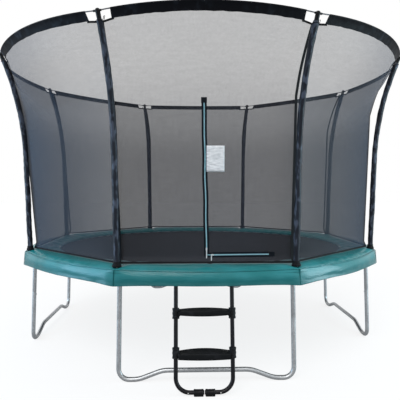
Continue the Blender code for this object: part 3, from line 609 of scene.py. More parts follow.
SPRINGS = 64
SPRING_GROUP = 4
MAT_RADIUS = 1.575
MAT_HEIGHT = 0.885
MAT_RING_REACH = 0.030
SPRING_COIL = 0.0105
SPRING_WIRE = 0.0016
SPRING_TURNS = 26
SPRING_STEPS = 8
MAT_ROUNDS = [0.02] + [0.1 + 1.42 * i / 15 for i in range(16)] + [1.528, 1.533, 1.55, MAT_RADIUS]
MAT_SPOKES = 192
HEM_START = 1.53
HEM_LIFT = 0.0016


def skin(rings, sides, tube=True, loop=False):
    """Faces between rows of points. A tube's rows close, and its two ends are covered unless
    the last row joins the first in a loop."""
    faces = []
    for ring in range(rings if loop else rings - 1):
        a, b = ring * sides, (ring + 1) % rings * sides
        for side in range(sides if tube else sides - 1):
            beside = (side + 1) % sides
            faces.append((a + side, a + beside, b + beside, b + side))
    if tube and not loop:
        last = (rings - 1) * sides
        faces += [tuple(range(sides))[::-1], tuple(range(last, last + sides))]
    return faces


def thickened(obj, thickness):
    obj.modifiers.new("thickness", "SOLIDIFY").thickness = thickness


def woven(name, dark, light, thread, rough):
    """Two crossed sets of flat threads."""
    cloth = Finish(name, dark, rough, specular=0.15)
    warp = cloth.ridges(thread, "X")
    weft = cloth.ridges(thread, "Y")
    level = cloth.ridges(thread, "Z")
    weave = warp.maths("MAXIMUM", warp * level.maths("MAXIMUM", level, 0.4), weft)
    dust = cloth.clouds(5.0, 4.0)
    cloth.put("Base Color", cloth.blended(weave * 0.5 + dust * 0.5, dark, light))
    cloth.put("Roughness", rough + dust * 0.12)
    cloth.bumped(weave, 0.0006, 0.6)
    return cloth.material


def spring_wire(length):
    """One spring's wire from the mat's ring, at 0, to its hole in the rail."""
    path = []
    for step in range(7):
        turn = math.radians(150 - 42 * step)
        path.append(Vector((0.0035 + 0.0055 * math.cos(turn), 0, 0.0055 * math.sin(turn))))
    low, high = 0.019, length - 0.024
    count = SPRING_TURNS * SPRING_STEPS
    for step in range(count + 1):
        share = step / count
        reach = SPRING_COIL * min(1.0, 0.3 + min(share, 1 - share) * 9)
        turn = 2 * math.pi * step / SPRING_STEPS
        centre = low + (high - low) * share
        path.append(Vector((centre, reach * math.cos(turn), reach * math.sin(turn))))
    path += [Vector((length - x, 0, z)) for x, z in ((0.016, 0.004), (0.003, 0.005))]
    path += [Vector((length + x, 0, z)) for x, z in ((0.004, 0.001), (0.005, -0.009))]
    return [(point, SPRING_WIRE) for point in path]


def spring_angle(number):
    return pole_angle(0) + 2 * math.pi * (number + 0.5) / SPRINGS


MAT_CLOTH = woven("mat_weave", (0.009, 0.009, 0.010), (0.025, 0.023, 0.023), 320.0, 0.62)
mat_edge = MAT_RADIUS * math.cos(math.pi / SPRINGS)
spring_root = mat_edge + MAT_RING_REACH
for group in range(SPRINGS // SPRING_GROUP):
    seats = []
    for number in range(group * SPRING_GROUP, (group + 1) * SPRING_GROUP):
        start = polar(spring_angle(number), spring_root, MAT_HEIGHT)
        end = polar(spring_angle(number), RING_RADIUS - RAIL_TUBE + 0.003, RING_HEIGHT + 0.006)
        seats.append((start, (end - start).normalized(), UP))
    wire = spring_wire((end - start).length)
    middle = polar(spring_angle(group * SPRING_GROUP + 1.5), 1)
    coils = seated(
        f"springs_{group + 1}",
        tube_mesh([wire], 5, BRIGHT_ZINC),
        seats,
        BRIGHT_ZINC,
        None,
        ["springs"],
    )
    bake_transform(coils)

corners = [(0.0, -0.017), (0.0, 0.017), (MAT_RING_REACH, 0.003), (MAT_RING_REACH, -0.003)]
ring_wire = []
for i, (x, y) in enumerate(corners):
    corner = Vector((x, y, 0))
    near = Vector((*corners[i - 1], 0))
    far = Vector((*corners[(i + 1) % 4], 0))
    ring_wire += [(p, 0.002) for p in rounded(near, corner, far, 0.0022, 3)]
ring_pattern = tube_mesh([ring_wire], 6, BRIGHT_ZINC, closed=True)
seats = [
    (polar(spring_angle(i), mat_edge - 0.002, MAT_HEIGHT), polar(spring_angle(i), 1), UP)
    for i in range(SPRINGS)
]
seated("mat_rings", ring_pattern, seats, BRIGHT_ZINC, "mat")

mat_points = []
for reach in MAT_ROUNDS:
    level = MAT_HEIGHT + (HEM_LIFT if reach > HEM_START else 0.0) + 0.0005
    mat_points += [polar(turn, reach, level) for turn in full_turn(MAT_SPOKES)]
mat_faces = [face[::-1] for face in skin(len(MAT_ROUNDS), MAT_SPOKES)[:-1]]
jump_mat = put_out(
    "mat_cloth",
    solid_mesh(mat_points, mat_faces, MAT_CLOTH),
    "mat",
    ["jump_mat"],
    repair=False,
)
thickened(jump_mat, 0.0022)


def ribbon(path, sideways, width, thickness, finish):
    """A flat tape along a path; sideways gives its width's direction at each point."""
    points = []
    for i, point in enumerate(path):
        ahead = path[min(i + 1, len(path) - 1)] - path[max(i - 1, 0)]
        side = (sideways(i) - ahead * sideways(i).dot(ahead) / ahead.length_squared).normalized()
        lift = ahead.cross(side).normalized() * thickness / 2
        half = side * width / 2
        corners = (-half - lift, half - lift, half + lift, lift - half)
        points += [point + corner for corner in corners]
    return solid_mesh(points, skin(len(path), 4), finish)


def webbing(name, colour, light, rough, rib=900.0):
    """Narrow woven tape with fine cross ribs."""
    tape = Finish(name, colour, rough, specular=0.1)
    rib_wave = tape.ridges(rib, "DIAGONAL")
    wear = tape.clouds(18.0, 3.0)
    tape.put("Base Color", tape.blended(rib_wave * 0.35 + wear * 0.65, colour, light))
    tape.put("Roughness", rough + wear * 0.15)
    tape.bumped(rib_wave, 0.0004, 0.5)
    return tape.material


BLACK_TAPE = webbing("black_webbing", (0.004, 0.004, 0.005), (0.010, 0.011, 0.013), 0.55)
tab_path = [Vector((x, 0, z)) for x, z in ((-0.040, -0.0035), (-0.003, -0.0040))]
tab_path += [Vector((x, 0, z)) for x, z in ((0.003, 0), (-0.003, 0.0052), (-0.040, 0.0048))]
tab = ribbon(tab_path, lambda i: Vector((0, 1, 0)), 0.030, 0.0014, BLACK_TAPE)
seated("mat_tabs", tab, seats, BLACK_TAPE, "mat")

# ---------------------------------------------------------------------------------------------
# Safety pad: eight foam panels in one long cover of glossy teal PVC, sewn together at the poles.
# A piped seam runs round the outer edge, and a skirt of the same PVC hangs from it over the
# ring. Elastic straps under the pad go round the ring midway between the poles.

PAD_INNER = 1.554
PAD_OUTER = 1.865
PAD_BULGE = 0.040
PAD_LEVEL = 0.9085
PAD_FOAM = 0.0185
PAD_COLUMNS = 46
PAD_ROWS = 13
SKIRT_HEM = 0.800
SKIRT_FLARE = 0.020
SKIRT_DROP = 0.022
SKIRT_ROWS = 12
PAD_STATIONS = POLES * PAD_COLUMNS
SEAM_STEPS = 200
PIPING_COLUMNS = 32


def pvc_cover():
    """Vinyl with a fine cloth grain, long soft creases, a film of dust on its dull parts and
    painted shade that darkens the skirt towards its hem.
    """
    vinyl = Finish("teal_vinyl", (0.012, 0.190, 0.205), 0.34, specular=0.3)
    fine = vinyl.clouds(420.0, 2.0)
    creases = vinyl.clouds(1.0, 5.0, vinyl.stretched(7.0, 7.0, 26.0))
    mottle = vinyl.clouds(3.2, 4.0)
    dust = mottle.between(0.42, 0.72)
    clean = vinyl.blended(dust, (0.006, 0.170, 0.180), (0.018, 0.215, 0.235))
    # Painted shade: the skirt's colour is darkened towards its hem, where it faces down.
    hem = 0.75 * (1 - vinyl.along("Z").between(0.795, 0.885))
    vinyl.put("Base Color", vinyl.blended(hem, clean, (0.003, 0.095, 0.100)))
    vinyl.put("Roughness", 0.25 + dust * 0.16 + fine * 0.06)
    vinyl.bumped(creases + fine * 0.06, 0.010, 0.55)
    vinyl.shader.inputs["Coat Roughness"].default_value = 0.12
    vinyl.put("Coat Weight", 0.06 + mottle * 0.16)
    return vinyl.material


def smoothed(obj):
    smoother = obj.modifiers.new("smooth", "SUBSURF")
    smoother.levels = smoother.render_levels = 1


def off_middle(angle):
    """How far an angle lies from the middle of its sector."""
    return abs((angle + HALF) % SECTOR - HALF)


def pad_reach(angle):
    """Distance of the pad's outer seam, which is let out round each pole."""
    return PAD_OUTER + PAD_BULGE * (off_middle(angle) / HALF) ** 4


def near_pole(angle):
    """1 at a pole, falling to 0 within a few centimetres along the ring."""
    return math.exp(-(((HALF - off_middle(angle)) * PAD_OUTER / 0.045) ** 2))


def pad_mesh():
    """The unswollen cover: top rows, then bottom rows, all the way round."""
    points, held = [], []
    shares = [i / PAD_ROWS for i in range(PAD_ROWS + 1)]
    rows = [(share, 1) for share in shares] + [(share, -1) for share in shares[-2:0:-1]]
    for column in range(PAD_STATIONS):
        angle = -HALF + SECTOR * column / PAD_COLUMNS
        seam = near_pole(angle)
        outer = pad_reach(angle)
        for share, face in rows:
            reach = PAD_INNER + (outer - PAD_INNER) * share
            rise = PAD_FOAM * (1 - abs(2 * share - 1) ** 6)
            lift = rise * (1 - 0.55 * seam) if face > 0 else -rise * 0.42
            points.append(polar(angle, reach, PAD_LEVEL + lift))
            sewn = share in (0, 1) or (column % PAD_COLUMNS == 0)
            held.append(1.0 if sewn or face < 0 else 0.0)
    return points, skin(PAD_STATIONS, len(rows), loop=True), held


def inflate(obj, held, pressure, ease, cap):
    """Swells a cover with cloth pressure, its sewn lines held, and keeps within a cap."""
    start = np.array([v.co for v in obj.data.vertices])
    group = obj.vertex_groups.new(name="sewn")
    for i, weight in enumerate(held):
        if weight:
            group.add([i], weight, "REPLACE")
    cloth = obj.modifiers.new("swell", "CLOTH")
    cloth.settings.vertex_group_mass = "sewn"
    cloth.settings.use_pressure = True
    cloth.settings.uniform_pressure_force = pressure
    cloth.settings.shrink_min = -ease
    cloth.settings.quality = 4
    cloth.settings.mass = 0.4
    cloth.settings.bending_stiffness = 2.0
    cloth.settings.effector_weights.gravity = 0
    cloth.point_cache.frame_start = 1
    cloth.point_cache.frame_end = 16
    for number in range(1, 17):
        scene.frame_set(number)
    graph = bpy.context.evaluated_depsgraph_get()
    swollen = obj.evaluated_get(graph).data
    moved = np.array([v.co for v in swollen.vertices]) - start
    length = np.linalg.norm(moved, axis=1, keepdims=True)
    moved *= np.minimum(1.0, cap / np.maximum(length, 1e-9))
    obj.modifiers.remove(cloth)
    obj.vertex_groups.clear()
    scene.frame_set(1)
    obj.data.vertices.foreach_set("co", (start + moved).ravel())
    obj.data.update()


VINYL = pvc_cover()
pad_points, pad_faces, pad_held = pad_mesh()
pad_cover = solid_mesh(pad_points, pad_faces, VINYL)
pad = put_out("pad_cover", pad_cover, "frame", ["safety_pad"], sharp=None)
inflate(pad, pad_held, 5.0, 0.035, 0.011)
smoothed(pad)

skirt_points = []
for column in range(PAD_STATIONS):
    angle = -HALF + SECTOR * column / PAD_COLUMNS
    hem = SKIRT_HEM - SKIRT_DROP * (off_middle(angle) / HALF) ** 4
    pinch = near_pole(angle)
    for row in range(SKIRT_ROWS + 1):
        share = row / SKIRT_ROWS
        height = PAD_LEVEL - 0.002 + (hem - PAD_LEVEL + 0.002) * share
        lap = noise.noise(Vector((angle * 5.0, 3.1, share * 0.8))) * 0.010
        lap += noise.noise(Vector((angle * 19.0, 7.7, share * 1.6))) * 0.0045
        tuck = noise.noise(Vector((angle * 46.0, share * 2.0, 1.3))) * 0.004 * pinch
        swell = 0.007 * math.sin(math.pi * min(1.0, share * 1.3)) * (1 - pinch)
        fold = SKIRT_FLARE * share + swell + (lap + tuck) * share - 0.009 * pinch * share
        skirt_points.append(polar(angle, pad_reach(angle) + 0.001 + fold, height))
skirt_faces = skin(PAD_STATIONS, SKIRT_ROWS + 1, tube=False, loop=True)
skirt = put_out(
    "pad_skirt",
    solid_mesh(skirt_points, skirt_faces, VINYL),
    "frame",
    ["safety_pad"],
    sharp=None,
    repair=False,
)
thickened(skirt, 0.0016)
smoothed(skirt)
seam_turns = [SECTOR * step / SEAM_STEPS for step in range(POLES * SEAM_STEPS + 1)]
seam_points = [polar(turn, pad_reach(turn)) for turn in seam_turns]

# Thin lips of the cover close the slits behind its two piped edges.
turns = [-HALF + SECTOR * column / PIPING_COLUMNS for column in range(POLES * PIPING_COLUMNS)]
inner_lip = [polar(t, PAD_INNER - 0.0008, PAD_LEVEL - 0.0085) for t in (*turns, turns[0])]
outer_lip = [polar(t, pad_reach(t) + 0.0005, PAD_LEVEL - 0.0035) for t in (*turns, turns[0])]
for name, path, width, thickness in (
    ("pad_inner_lip", inner_lip, 0.013, 0.0016),
    ("pad_outer_lip", outer_lip, 0.014, 0.0014),
):
    lip = ribbon(path, lambda i: UP, width, thickness, VINYL)
    put_out(name, lip, "frame")
welt = [(polar(t, pad_reach(t) + 0.002, PAD_LEVEL), 0.0046) for t in turns]
inner_welt = [(polar(t, PAD_INNER - 0.001, PAD_LEVEL - 0.002), 0.0028) for t in turns]
tubes("pad_piping", [welt, inner_welt], 8, VINYL, "frame", closed=True)

stitch_line = [(polar(t, pad_reach(t) + 0.0085, PAD_LEVEL - 0.024), 0.0011) for t in turns]
DARK_SEAM = webbing("pad_seam_thread", (0.005, 0.075, 0.082), (0.010, 0.13, 0.14), 0.5)
tubes("pad_seam", [stitch_line], 5, DARK_SEAM, "frame", closed=True)

panel_seams = []
for index in range(POLES):
    angle = pole_angle(index)
    reach = pad_reach(angle)
    seam = []
    for i in range(13):
        level = PAD_LEVEL + 0.0098 - 0.008 * (i == 12)
        spot = polar(angle, PAD_INNER + 0.012 + (reach - PAD_INNER - 0.02) * i / 12)
        seam.append((spot + UP * level, 0.0022))
    fall = [
        (polar(angle, reach + 0.0035 + 0.011 * i / 6, PAD_LEVEL - 0.002 - 0.124 * i / 6), 0.0026)
        for i in range(7)
    ]
    panel_seams += [seam, fall]
tubes("pad_panel_seams", panel_seams, 6, DARK_SEAM, "frame")

for index in range(POLES):
    angle = index * SECTOR
    out = polar(angle, 1)
    hold = RAIL_TUBE + 0.0018
    loop = [out * hold * c + UP * s for c, s in ((1, 0.034), (1, 0.012))]
    loop += [
        (out * math.cos(t) - UP * math.sin(t)) * hold for t in np.linspace(0.15, math.pi - 0.15, 11)
    ]
    loop += [-out * hold + UP * s for s in (0.012, 0.034)]
    centre = polar(angle, RING_RADIUS, RING_HEIGHT)
    loop = [centre + point for point in loop]
    strap = ribbon(loop, lambda i, a=angle: across(a), 0.025, 0.002, BLACK_TAPE)
    put_out(f"pad_strap_{index + 1}", strap, "frame")

# ---------------------------------------------------------------------------------------------
# Poles and sleeves: eight steel tubes that stand in the sockets' clamps and bend outward at the
# top. Each wears a foam sleeve in shiny navy cloth, wrinkled where it is pulled up, gathered in
# a black collar on the pad and tied off below a moulded cap that takes the rim's rods.

POLE_BOTTOM = 0.785
POLE_LEAN = 0.035
POLE_BEND_START = 1.760
POLE_FLARE = 0.183
POLE_CURVE_POWER = 2.3
RIM_HEIGHT = 2.830
RIM_RADIUS = 2.112
POLE_TOP_DROP = 0.018
SLEEVE_BOTTOM = 0.921
SLEEVE_TOP_DROP = 0.026
TIE_DROP = 0.046
SLEEVE_TUBE = 0.0262
SLEEVE_SIDES = 22
SLEEVE_RINGS = 150
COLLAR_TUBE = 0.034
COLLAR_SIDES = 48
TIE_TUBE = 0.0268
CAP_TUBE = 0.018
POLE_TOP = RIM_HEIGHT - POLE_TOP_DROP


def pole_distance(height):
    lean = POLE_LEAN * max(0.0, height - SLEEVE_BOTTOM)
    share = max(0.0, (height - POLE_BEND_START) / (RIM_HEIGHT - POLE_BEND_START))
    return POLE_RADIUS + lean + POLE_FLARE * share**POLE_CURVE_POWER


def pole_point(index, height):
    return polar(pole_angle(index), pole_distance(height), height)


def sleeve_cloth():
    """Tightly woven nylon: dark and cool, with highlights painted into its colour along every
    pucker.
    """
    cloth = Finish("navy_sleeve_nylon", (0.005, 0.006, 0.011), 0.36, specular=0.16)
    weave = cloth.ridges(1400.0, "Z")
    pulls = cloth.clouds(1.0, 4.0, cloth.stretched(30.0, 30.0, 12.0))
    shade = cloth.clouds(7.0, 3.0)
    # Painted highlights: lighter streaks along the puckers, with some lighter cloud patches.
    painted_shine = pulls.between(0.50, 0.62) * 0.85 + shade * 0.25
    cloth.put("Base Color", cloth.blended(painted_shine, (0.004, 0.005, 0.009), (0.062, 0.074, 0.105)))
    cloth.put("Roughness", 0.27 + shade * 0.2)
    cloth.bumped(pulls + weave * 0.03, 0.006, 0.7)
    return cloth.material


def sleeve_mesh(index, finish):
    """Cloth round the foam, with swirling creases, drawn in at the top."""
    points = []
    top = POLE_TOP - SLEEVE_TOP_DROP
    angle = pole_angle(index)
    along = across(angle)
    for ring in range(SLEEVE_RINGS + 1):
        share = ring / SLEEVE_RINGS
        height = SLEEVE_BOTTOM + 0.006 + (top - SLEEVE_BOTTOM - 0.006) * share
        centre = pole_point(index, height)
        ahead = (pole_point(index, height + 0.01) - pole_point(index, height - 0.01)).normalized()
        out = along.cross(ahead).normalized()
        end = min(1.0, (1 - share) * 60) ** 0.6
        width = SLEEVE_TUBE * (0.66 + 0.34 * end)
        for turn in full_turn(SLEEVE_SIDES):
            arm = out * math.cos(turn) + along * math.sin(turn)
            twist = turn + 2.2 * noise.noise(Vector((index * 3.3, 0, height * 1.7)))
            swirl = Vector((math.cos(twist) * 0.9 + index * 5, math.sin(twist) * 0.9, height * 9))
            crease = 1 - abs(noise.noise(swirl)) * 3.2
            slack = noise.noise(Vector((math.cos(twist) + index * 9, math.sin(twist), height * 3)))
            pucker = math.cos(turn * 9) * 0.0009 * (1 - end)
            reach = width + max(0.0, crease) * 0.0024 + slack * 0.0042 + pucker - 0.0022
            points.append(centre + arm * max(reach, POLE_TUBE + 0.0008))
    return solid_mesh(points, skin(SLEEVE_RINGS + 1, SLEEVE_SIDES), finish)


def collar_mesh(index, finish):
    """Black cloth drawn in above, belled below, with pleats all round."""
    profile = ((0.921, 0.031), (0.9245, 0.0355), (0.934, 0.0345), (0.948, 0.0300))
    profile += ((0.956, 0.0262), (0.960, 0.0275), (0.966, 0.0268), (0.969, 0.0225))
    points = []
    for height, width in profile:
        centre = pole_point(index, height)
        for turn in full_turn(COLLAR_SIDES):
            pleat = math.cos(turn * 12 + index + math.sin(turn * 3)) * 0.0013
            spot = Vector((math.cos(turn) * 2 + index, math.sin(turn) * 2, height * 40))
            pleat += noise.noise(spot) * 0.002
            points.append(centre + polar(pole_angle(index) + turn, width + pleat))
    return solid_mesh(points, skin(len(profile), COLLAR_SIDES), finish)


def moulded(name, colour, light, rough, grain=700.0):
    plastic = Finish(name, colour, rough, specular=0.16)
    grit = plastic.clouds(grain, 2.0)
    scuff = plastic.clouds(14.0, 5.0).between(0.52, 0.75)
    plastic.put("Base Color", plastic.blended(scuff, colour, light))
    plastic.put("Roughness", rough + scuff * 0.12 + grit * 0.06)
    plastic.bumped(grit, 0.0006, 0.5)
    return plastic.material


SLEEVE_CLOTH = sleeve_cloth()
BLACK_PLASTIC = moulded("black_moulded_plastic", (0.004, 0.004, 0.005), (0.012, 0.012, 0.014), 0.36)
for index in range(POLES):
    pole = [(pole_point(index, POLE_BOTTOM), POLE_TUBE)]
    heights = [SLEEVE_BOTTOM, *np.linspace(POLE_BEND_START, POLE_TOP, 14)]
    pole += [(pole_point(index, height), POLE_TUBE) for height in heights]
    node = f"pole_{index + 1}"
    tubes(f"pole_tube_{index + 1}", [pole], 20, ZINC, "frame", [node])
    node = f"pole_sleeve_{index + 1}"
    cover = sleeve_mesh(index, SLEEVE_CLOTH)
    sleeve = put_out(f"sleeve_{index + 1}", cover, "frame", [node], sharp=60)
    collar = collar_mesh(index, BLACK_TAPE)
    put_out(f"sleeve_collar_{index + 1}", collar, "frame", [node], sharp=70)

plugs, caps, ties, tails = [], [], [], []
for index in range(POLES):
    angle = pole_angle(index)
    plugs.append([(pole_point(index, POLE_BOTTOM + z), 0.0146) for z in (-0.002, 0.006)])
    top = pole_point(index, POLE_TOP)
    ahead = (top - pole_point(index, POLE_TOP - 0.02)).normalized()
    profile = ((-0.040, 0.0158), (-0.039, 0.0172), (0.0, CAP_TUBE), (0.024, CAP_TUBE))
    profile += ((0.031, 0.0165), (0.036, 0.0125), (0.039, 0.0065), (0.040, 0.001))
    caps.append([(top + ahead * x, width) for x, width in profile])
    rod = polar(angle, RIM_RADIUS, RIM_HEIGHT)
    boss = ((-0.034, 0.0068), (-0.032, 0.0082), (0.032, 0.0082), (0.034, 0.0068))
    side = across(angle)
    caps.append([(rod + side * x, width) for x, width in boss])
    neck = pole_point(index, POLE_TOP - TIE_DROP)
    ties.append([(neck + polar(angle + turn, TIE_TUBE), 0.0024) for turn in full_turn(20)])
    for turn, reach in ((-0.30, 0.046), (0.25, 0.034)):
        start = neck + (side * math.cos(turn) + polar(angle, 1) * math.sin(turn)) * SLEEVE_TUBE
        bend = start + side * 0.009 + UP * 0.010
        tip = bend + side * 0.004 + UP * reach * 0.6
        tails.append([(start, 0.0021), (bend, 0.0021), (tip, 0.0023)])
tubes("pole_end_plugs", plugs, 20, BLACK_PLASTIC, "frame")
tubes("pole_caps", caps, 24, BLACK_PLASTIC, "frame", ["top_rim"])
tubes("sleeve_ties", ties, 6, BLACK_TAPE, "frame", closed=True)
tubes("sleeve_tie_tails", tails, 6, BLACK_TAPE, "frame")

# ---------------------------------------------------------------------------------------------
# Rim: eight thin steel rods, plugged into the caps, hold the top of the net in a round.

ROD_TUBE = 0.00475
RIM_BOW = 0.020


def rim_point(sector, share, drop=0.0):
    """A point on the rim; share runs from -1 to 1 between a sector's two poles."""
    bow = RIM_BOW * (1 - share * share)
    return polar(sector * SECTOR + share * HALF, RIM_RADIUS, RIM_HEIGHT + bow - drop)


rods = [
    [(rim_point(sector, -0.99 + 1.98 * i / 24), ROD_TUBE) for i in range(25)]
    for sector in range(POLES)
]
ROD_STEEL = galvanised("rim_rod_finish", (0.07, 0.07, 0.08), (0.16, 0.16, 0.17), 0.34)
tubes("rim_rods", rods, 12, ROD_STEEL, "frame", ["top_rim"])

# ---------------------------------------------------------------------------------------------
# Net: eight panels of fine black knitted mesh, sewn edge to edge inside the poles with black
# binding. The mesh is stretched outward above the poles' bend, and folded bands of black cloth
# hold it to the rim between the caps. A cord laced through its hem pulls it down to the pad.

NET_HEM = 0.950
NET_LEDGE = 0.998
NET_LEDGE_RADIUS = 1.800
NET_BEND = 2.275
NET_BEND_RADIUS = 1.845
NET_RISES = ((2.450, 1.895, 0.075), (2.620, 1.965, 0.175))
NET_SEAM_TOP = 2.775
NET_SEAM_TOP_RADIUS = 2.045
BAND_DROP = 0.056
BAND_INSET = 0.039
SEAM_PULLS = (
    (0.998, 0.0), (2.0, 0.050), (2.275, 0.070), (2.45, 0.062), (2.62, 0.036), (2.775, 0.0),
)
PULLED_POLES = (5, 6, 7)
BAND_END = 0.87
BAND_STATIONS = 44
HEM_CORD = 0.004
NET_HEM_RADIUS = POLE_RADIUS - COLLAR_TUBE - HEM_CORD - 0.0003
NET_COLUMNS = 28
NET_FACE_ROWS = 12
NET_RISE_ROWS = 16
FRONT_Y = -1.5
ZIP_CORNER = (-0.013, 1.008)
ZIP_TOP = (-0.024, 2.258)
ZIP_END = (0.515, 1.012)
DOOR_SIDES = ((ZIP_CORNER, ZIP_TOP), (ZIP_TOP, ZIP_END), (ZIP_END, ZIP_CORNER))


def knitted_mesh():
    """Black yarn round small open holes; the mesh opens up where it is stretched, thickens towards
    the flanks and carries a painted bluish reflection there.
    """
    yarn = Finish("knitted_mesh", (0.012, 0.013, 0.016), 0.6, specular=0.2)
    flat = yarn.node("ShaderNodeUVMap", {"uv_map": "cloth"})
    holes = yarn.ridges(320.0, "X", flat) * yarn.ridges(320.0, "Y", flat)
    stretch = yarn.along("Z").between(1.90, 2.60)
    sag = yarn.clouds(1.3, 3.0)
    streaks = yarn.clouds(1.0, 3.0, yarn.stretched(9.0, 9.0, 60.0)) * 0.5
    streaks = streaks + yarn.clouds(1.0, 3.0, yarn.stretched(70.0, 70.0, 6.0)) * 0.5
    sideways = yarn.along("X")
    flank_density_and_reflection = sideways.maths("ABSOLUTE", sideways).between(1.0, 1.85)
    cover = 0.565 - stretch * 0.135 + sag * 0.03 + flank_density_and_reflection * 0.175 + streaks * 0.14
    yarn.put("Alpha", cover - (holes - 0.25) * 0.22)
    plain = yarn.blended(sag, (0.007, 0.010, 0.016), (0.030, 0.034, 0.048))
    # Painted reflection: the yarn takes a lighter bluish tint towards the flanks.
    yarn.put("Base Color", yarn.blended(flank_density_and_reflection, plain, (0.014, 0.027, 0.050)))
    return yarn.material


def band_cloth():
    """Shiny coated cloth with soft cross wrinkles, with highlights painted on their crests."""
    cloth = Finish("band_cloth", (0.004, 0.004, 0.006), 0.38, specular=0.09)
    wrinkle = cloth.clouds(1.0, 4.0, cloth.stretched(16.0, 16.0, 9.0))
    shade = cloth.clouds(3.0, 3.0)
    # Painted highlights: the colour turns paler on the wrinkle crests.
    painted_shine = wrinkle.between(0.46, 0.70) * shade.between(0.36, 0.66)
    cloth.put("Base Color", cloth.blended(painted_shine, (0.004, 0.004, 0.006), (0.026, 0.030, 0.039)))
    cloth.put("Roughness", 0.42 + shade * 0.20)
    cloth.bumped(wrinkle, 0.008, 0.6)
    return cloth.material


def nearest_pole(sector, share):
    return (sector if share > 0 else sector - 1) % POLES


def seam_pull(pole, height):
    """How far a seam is pulled out of its straight line towards its pole."""
    if pole not in PULLED_POLES or height <= SEAM_PULLS[0][0]:
        return 0.0
    levels, pulls = zip(*SEAM_PULLS)
    return float(np.interp(height, levels, pulls))


def net_column(sector, share):
    """The net's fixed heights in one column, from the hem up to the band or the seam's top."""
    levels = [(NET_HEM, NET_HEM_RADIUS, 0.0), (NET_LEDGE, NET_LEDGE_RADIUS, 0.0)]
    levels += [(NET_BEND, NET_BEND_RADIUS, 0.0), *NET_RISES]
    stops = []
    middle = sector * SECTOR
    pole = nearest_pole(sector, share)
    for height, radius, bulge in levels:
        aside = across(middle) * (share * radius * math.sin(HALF))
        outward = polar(middle, radius * math.cos(HALF) + bulge * (1 - share * share))
        pull = seam_pull(pole, height) * abs(share) ** 6
        stops.append(aside + outward + UP * height + polar(pole_angle(pole), pull))
    held = math.copysign(min(abs(share), BAND_END), share)
    last = rim_point(sector, held, BAND_DROP) - polar(middle + held * HALF, BAND_INSET)
    if abs(share) > BAND_END:
        seam = polar(middle + math.copysign(HALF, share), NET_SEAM_TOP_RADIUS, NET_SEAM_TOP)
        last = last.lerp(seam, (abs(share) - BAND_END) / (1 - BAND_END))
    stops.append(last)
    return stops


def smooth_rise(stops, share):
    """A point on the curve from the bend up to the top, through the two rises."""
    knots = [stops[2] * 2 - stops[2].lerp(stops[3], 0.9), *stops[2:], stops[5] * 2 - stops[4]]
    place = share * 3
    span = min(2, int(place))
    t = place - span
    a, b, c, d = knots[span : span + 4]
    squared = (2 * a - 5 * b + 4 * c - d) * t**2
    cubed = (3 * b - a - 3 * c + d) * t**3
    return 0.5 * (2 * b + (c - a) * t + squared + cubed)


def net_line(sector, share):
    """Points of one column of the net from hem to top."""
    stops = net_column(sector, share)
    line = [stops[0], stops[0].lerp(stops[1], 0.5), stops[1]]
    pole = nearest_pole(sector, share)
    for i in range(1, NET_FACE_ROWS + 1):
        rise = i / NET_FACE_ROWS
        point = stops[1].lerp(stops[2], rise)
        slack = math.sin(math.pi * rise) * (1 - abs(share) ** 3)
        lap = noise.noise(Vector((sector * 4 + share * 3.0, i * 0.30, 5.1)))
        even = (point.z - stops[1].z) / (stops[2].z - stops[1].z)
        drawn = seam_pull(pole, point.z) - seam_pull(pole, NET_BEND) * even
        point += polar(sector * SECTOR, 0.006 * lap * slack)
        line.append(point + polar(pole_angle(pole), drawn * abs(share) ** 6))
    line += [smooth_rise(stops, i / NET_RISE_ROWS) for i in range(1, NET_RISE_ROWS + 1)]
    return line


def cloth_map(mesh):
    """Flat cloth coordinates in metres: round the enclosure, and up."""
    layer = mesh.uv_layers.new(name="cloth")
    for loop in mesh.loops:
        place = mesh.vertices[loop.vertex_index].co
        turn = math.atan2(place.x, -place.y)
        layer.data[loop.index].uv = (turn * 1.8, place.z)


def in_door(point):
    """Whether a point lies on the front panel, inside the zip's corner."""
    return point.y < FRONT_Y and all(
        (b[0] - a[0]) * (point.z - a[1]) - (b[1] - a[1]) * (point.x - a[0]) < 0
        for a, b in DOOR_SIDES
    )


NET_SHARES = [-1 + 2 * i / NET_COLUMNS for i in range(NET_COLUMNS)]
NET_MESH = knitted_mesh()
lines = [net_line(sector, share) for sector in range(POLES) for share in NET_SHARES]
rows = len(lines[0])
work = bmesh.new()
grid = [[work.verts.new(point) for point in line] for line in lines]
for column in range(len(grid)):
    beside = grid[(column + 1) % len(grid)]
    for row in range(rows - 1):
        work.faces.new((grid[column][row], beside[row], beside[row + 1], grid[column][row + 1]))
for start, end in DOOR_SIDES:
    front = [face for face in work.faces if face.calc_center_median().y < FRONT_Y]
    edges = dict.fromkeys(edge for face in front for edge in face.edges)
    verts = dict.fromkeys(vert for face in front for vert in face.verts)
    lean = Vector((end[1] - start[1], 0, start[0] - end[0])).normalized()
    spot = Vector((start[0], 0, start[1]))
    bmesh.ops.bisect_plane(work, geom=[*front, *edges, *verts], plane_co=spot, plane_no=lean)
doorway = [face for face in work.faces if in_door(face.calc_center_median())]
flap_work = bmesh.new()
verts = dict.fromkeys(vert for face in doorway for vert in face.verts)
copies = {vert: flap_work.verts.new(vert.co) for vert in verts}
for face in doorway:
    flap_work.faces.new([copies[vert] for vert in face.verts])
bmesh.ops.delete(work, geom=doorway, context="FACES")
net_mesh = bpy.data.meshes.new("net")
work.to_mesh(net_mesh)
work.free()
net_mesh.materials.append(NET_MESH)
cloth_map(net_mesh)
net = put_out("net_panels", net_mesh, "frame", ["net_enclosure"], None, False)

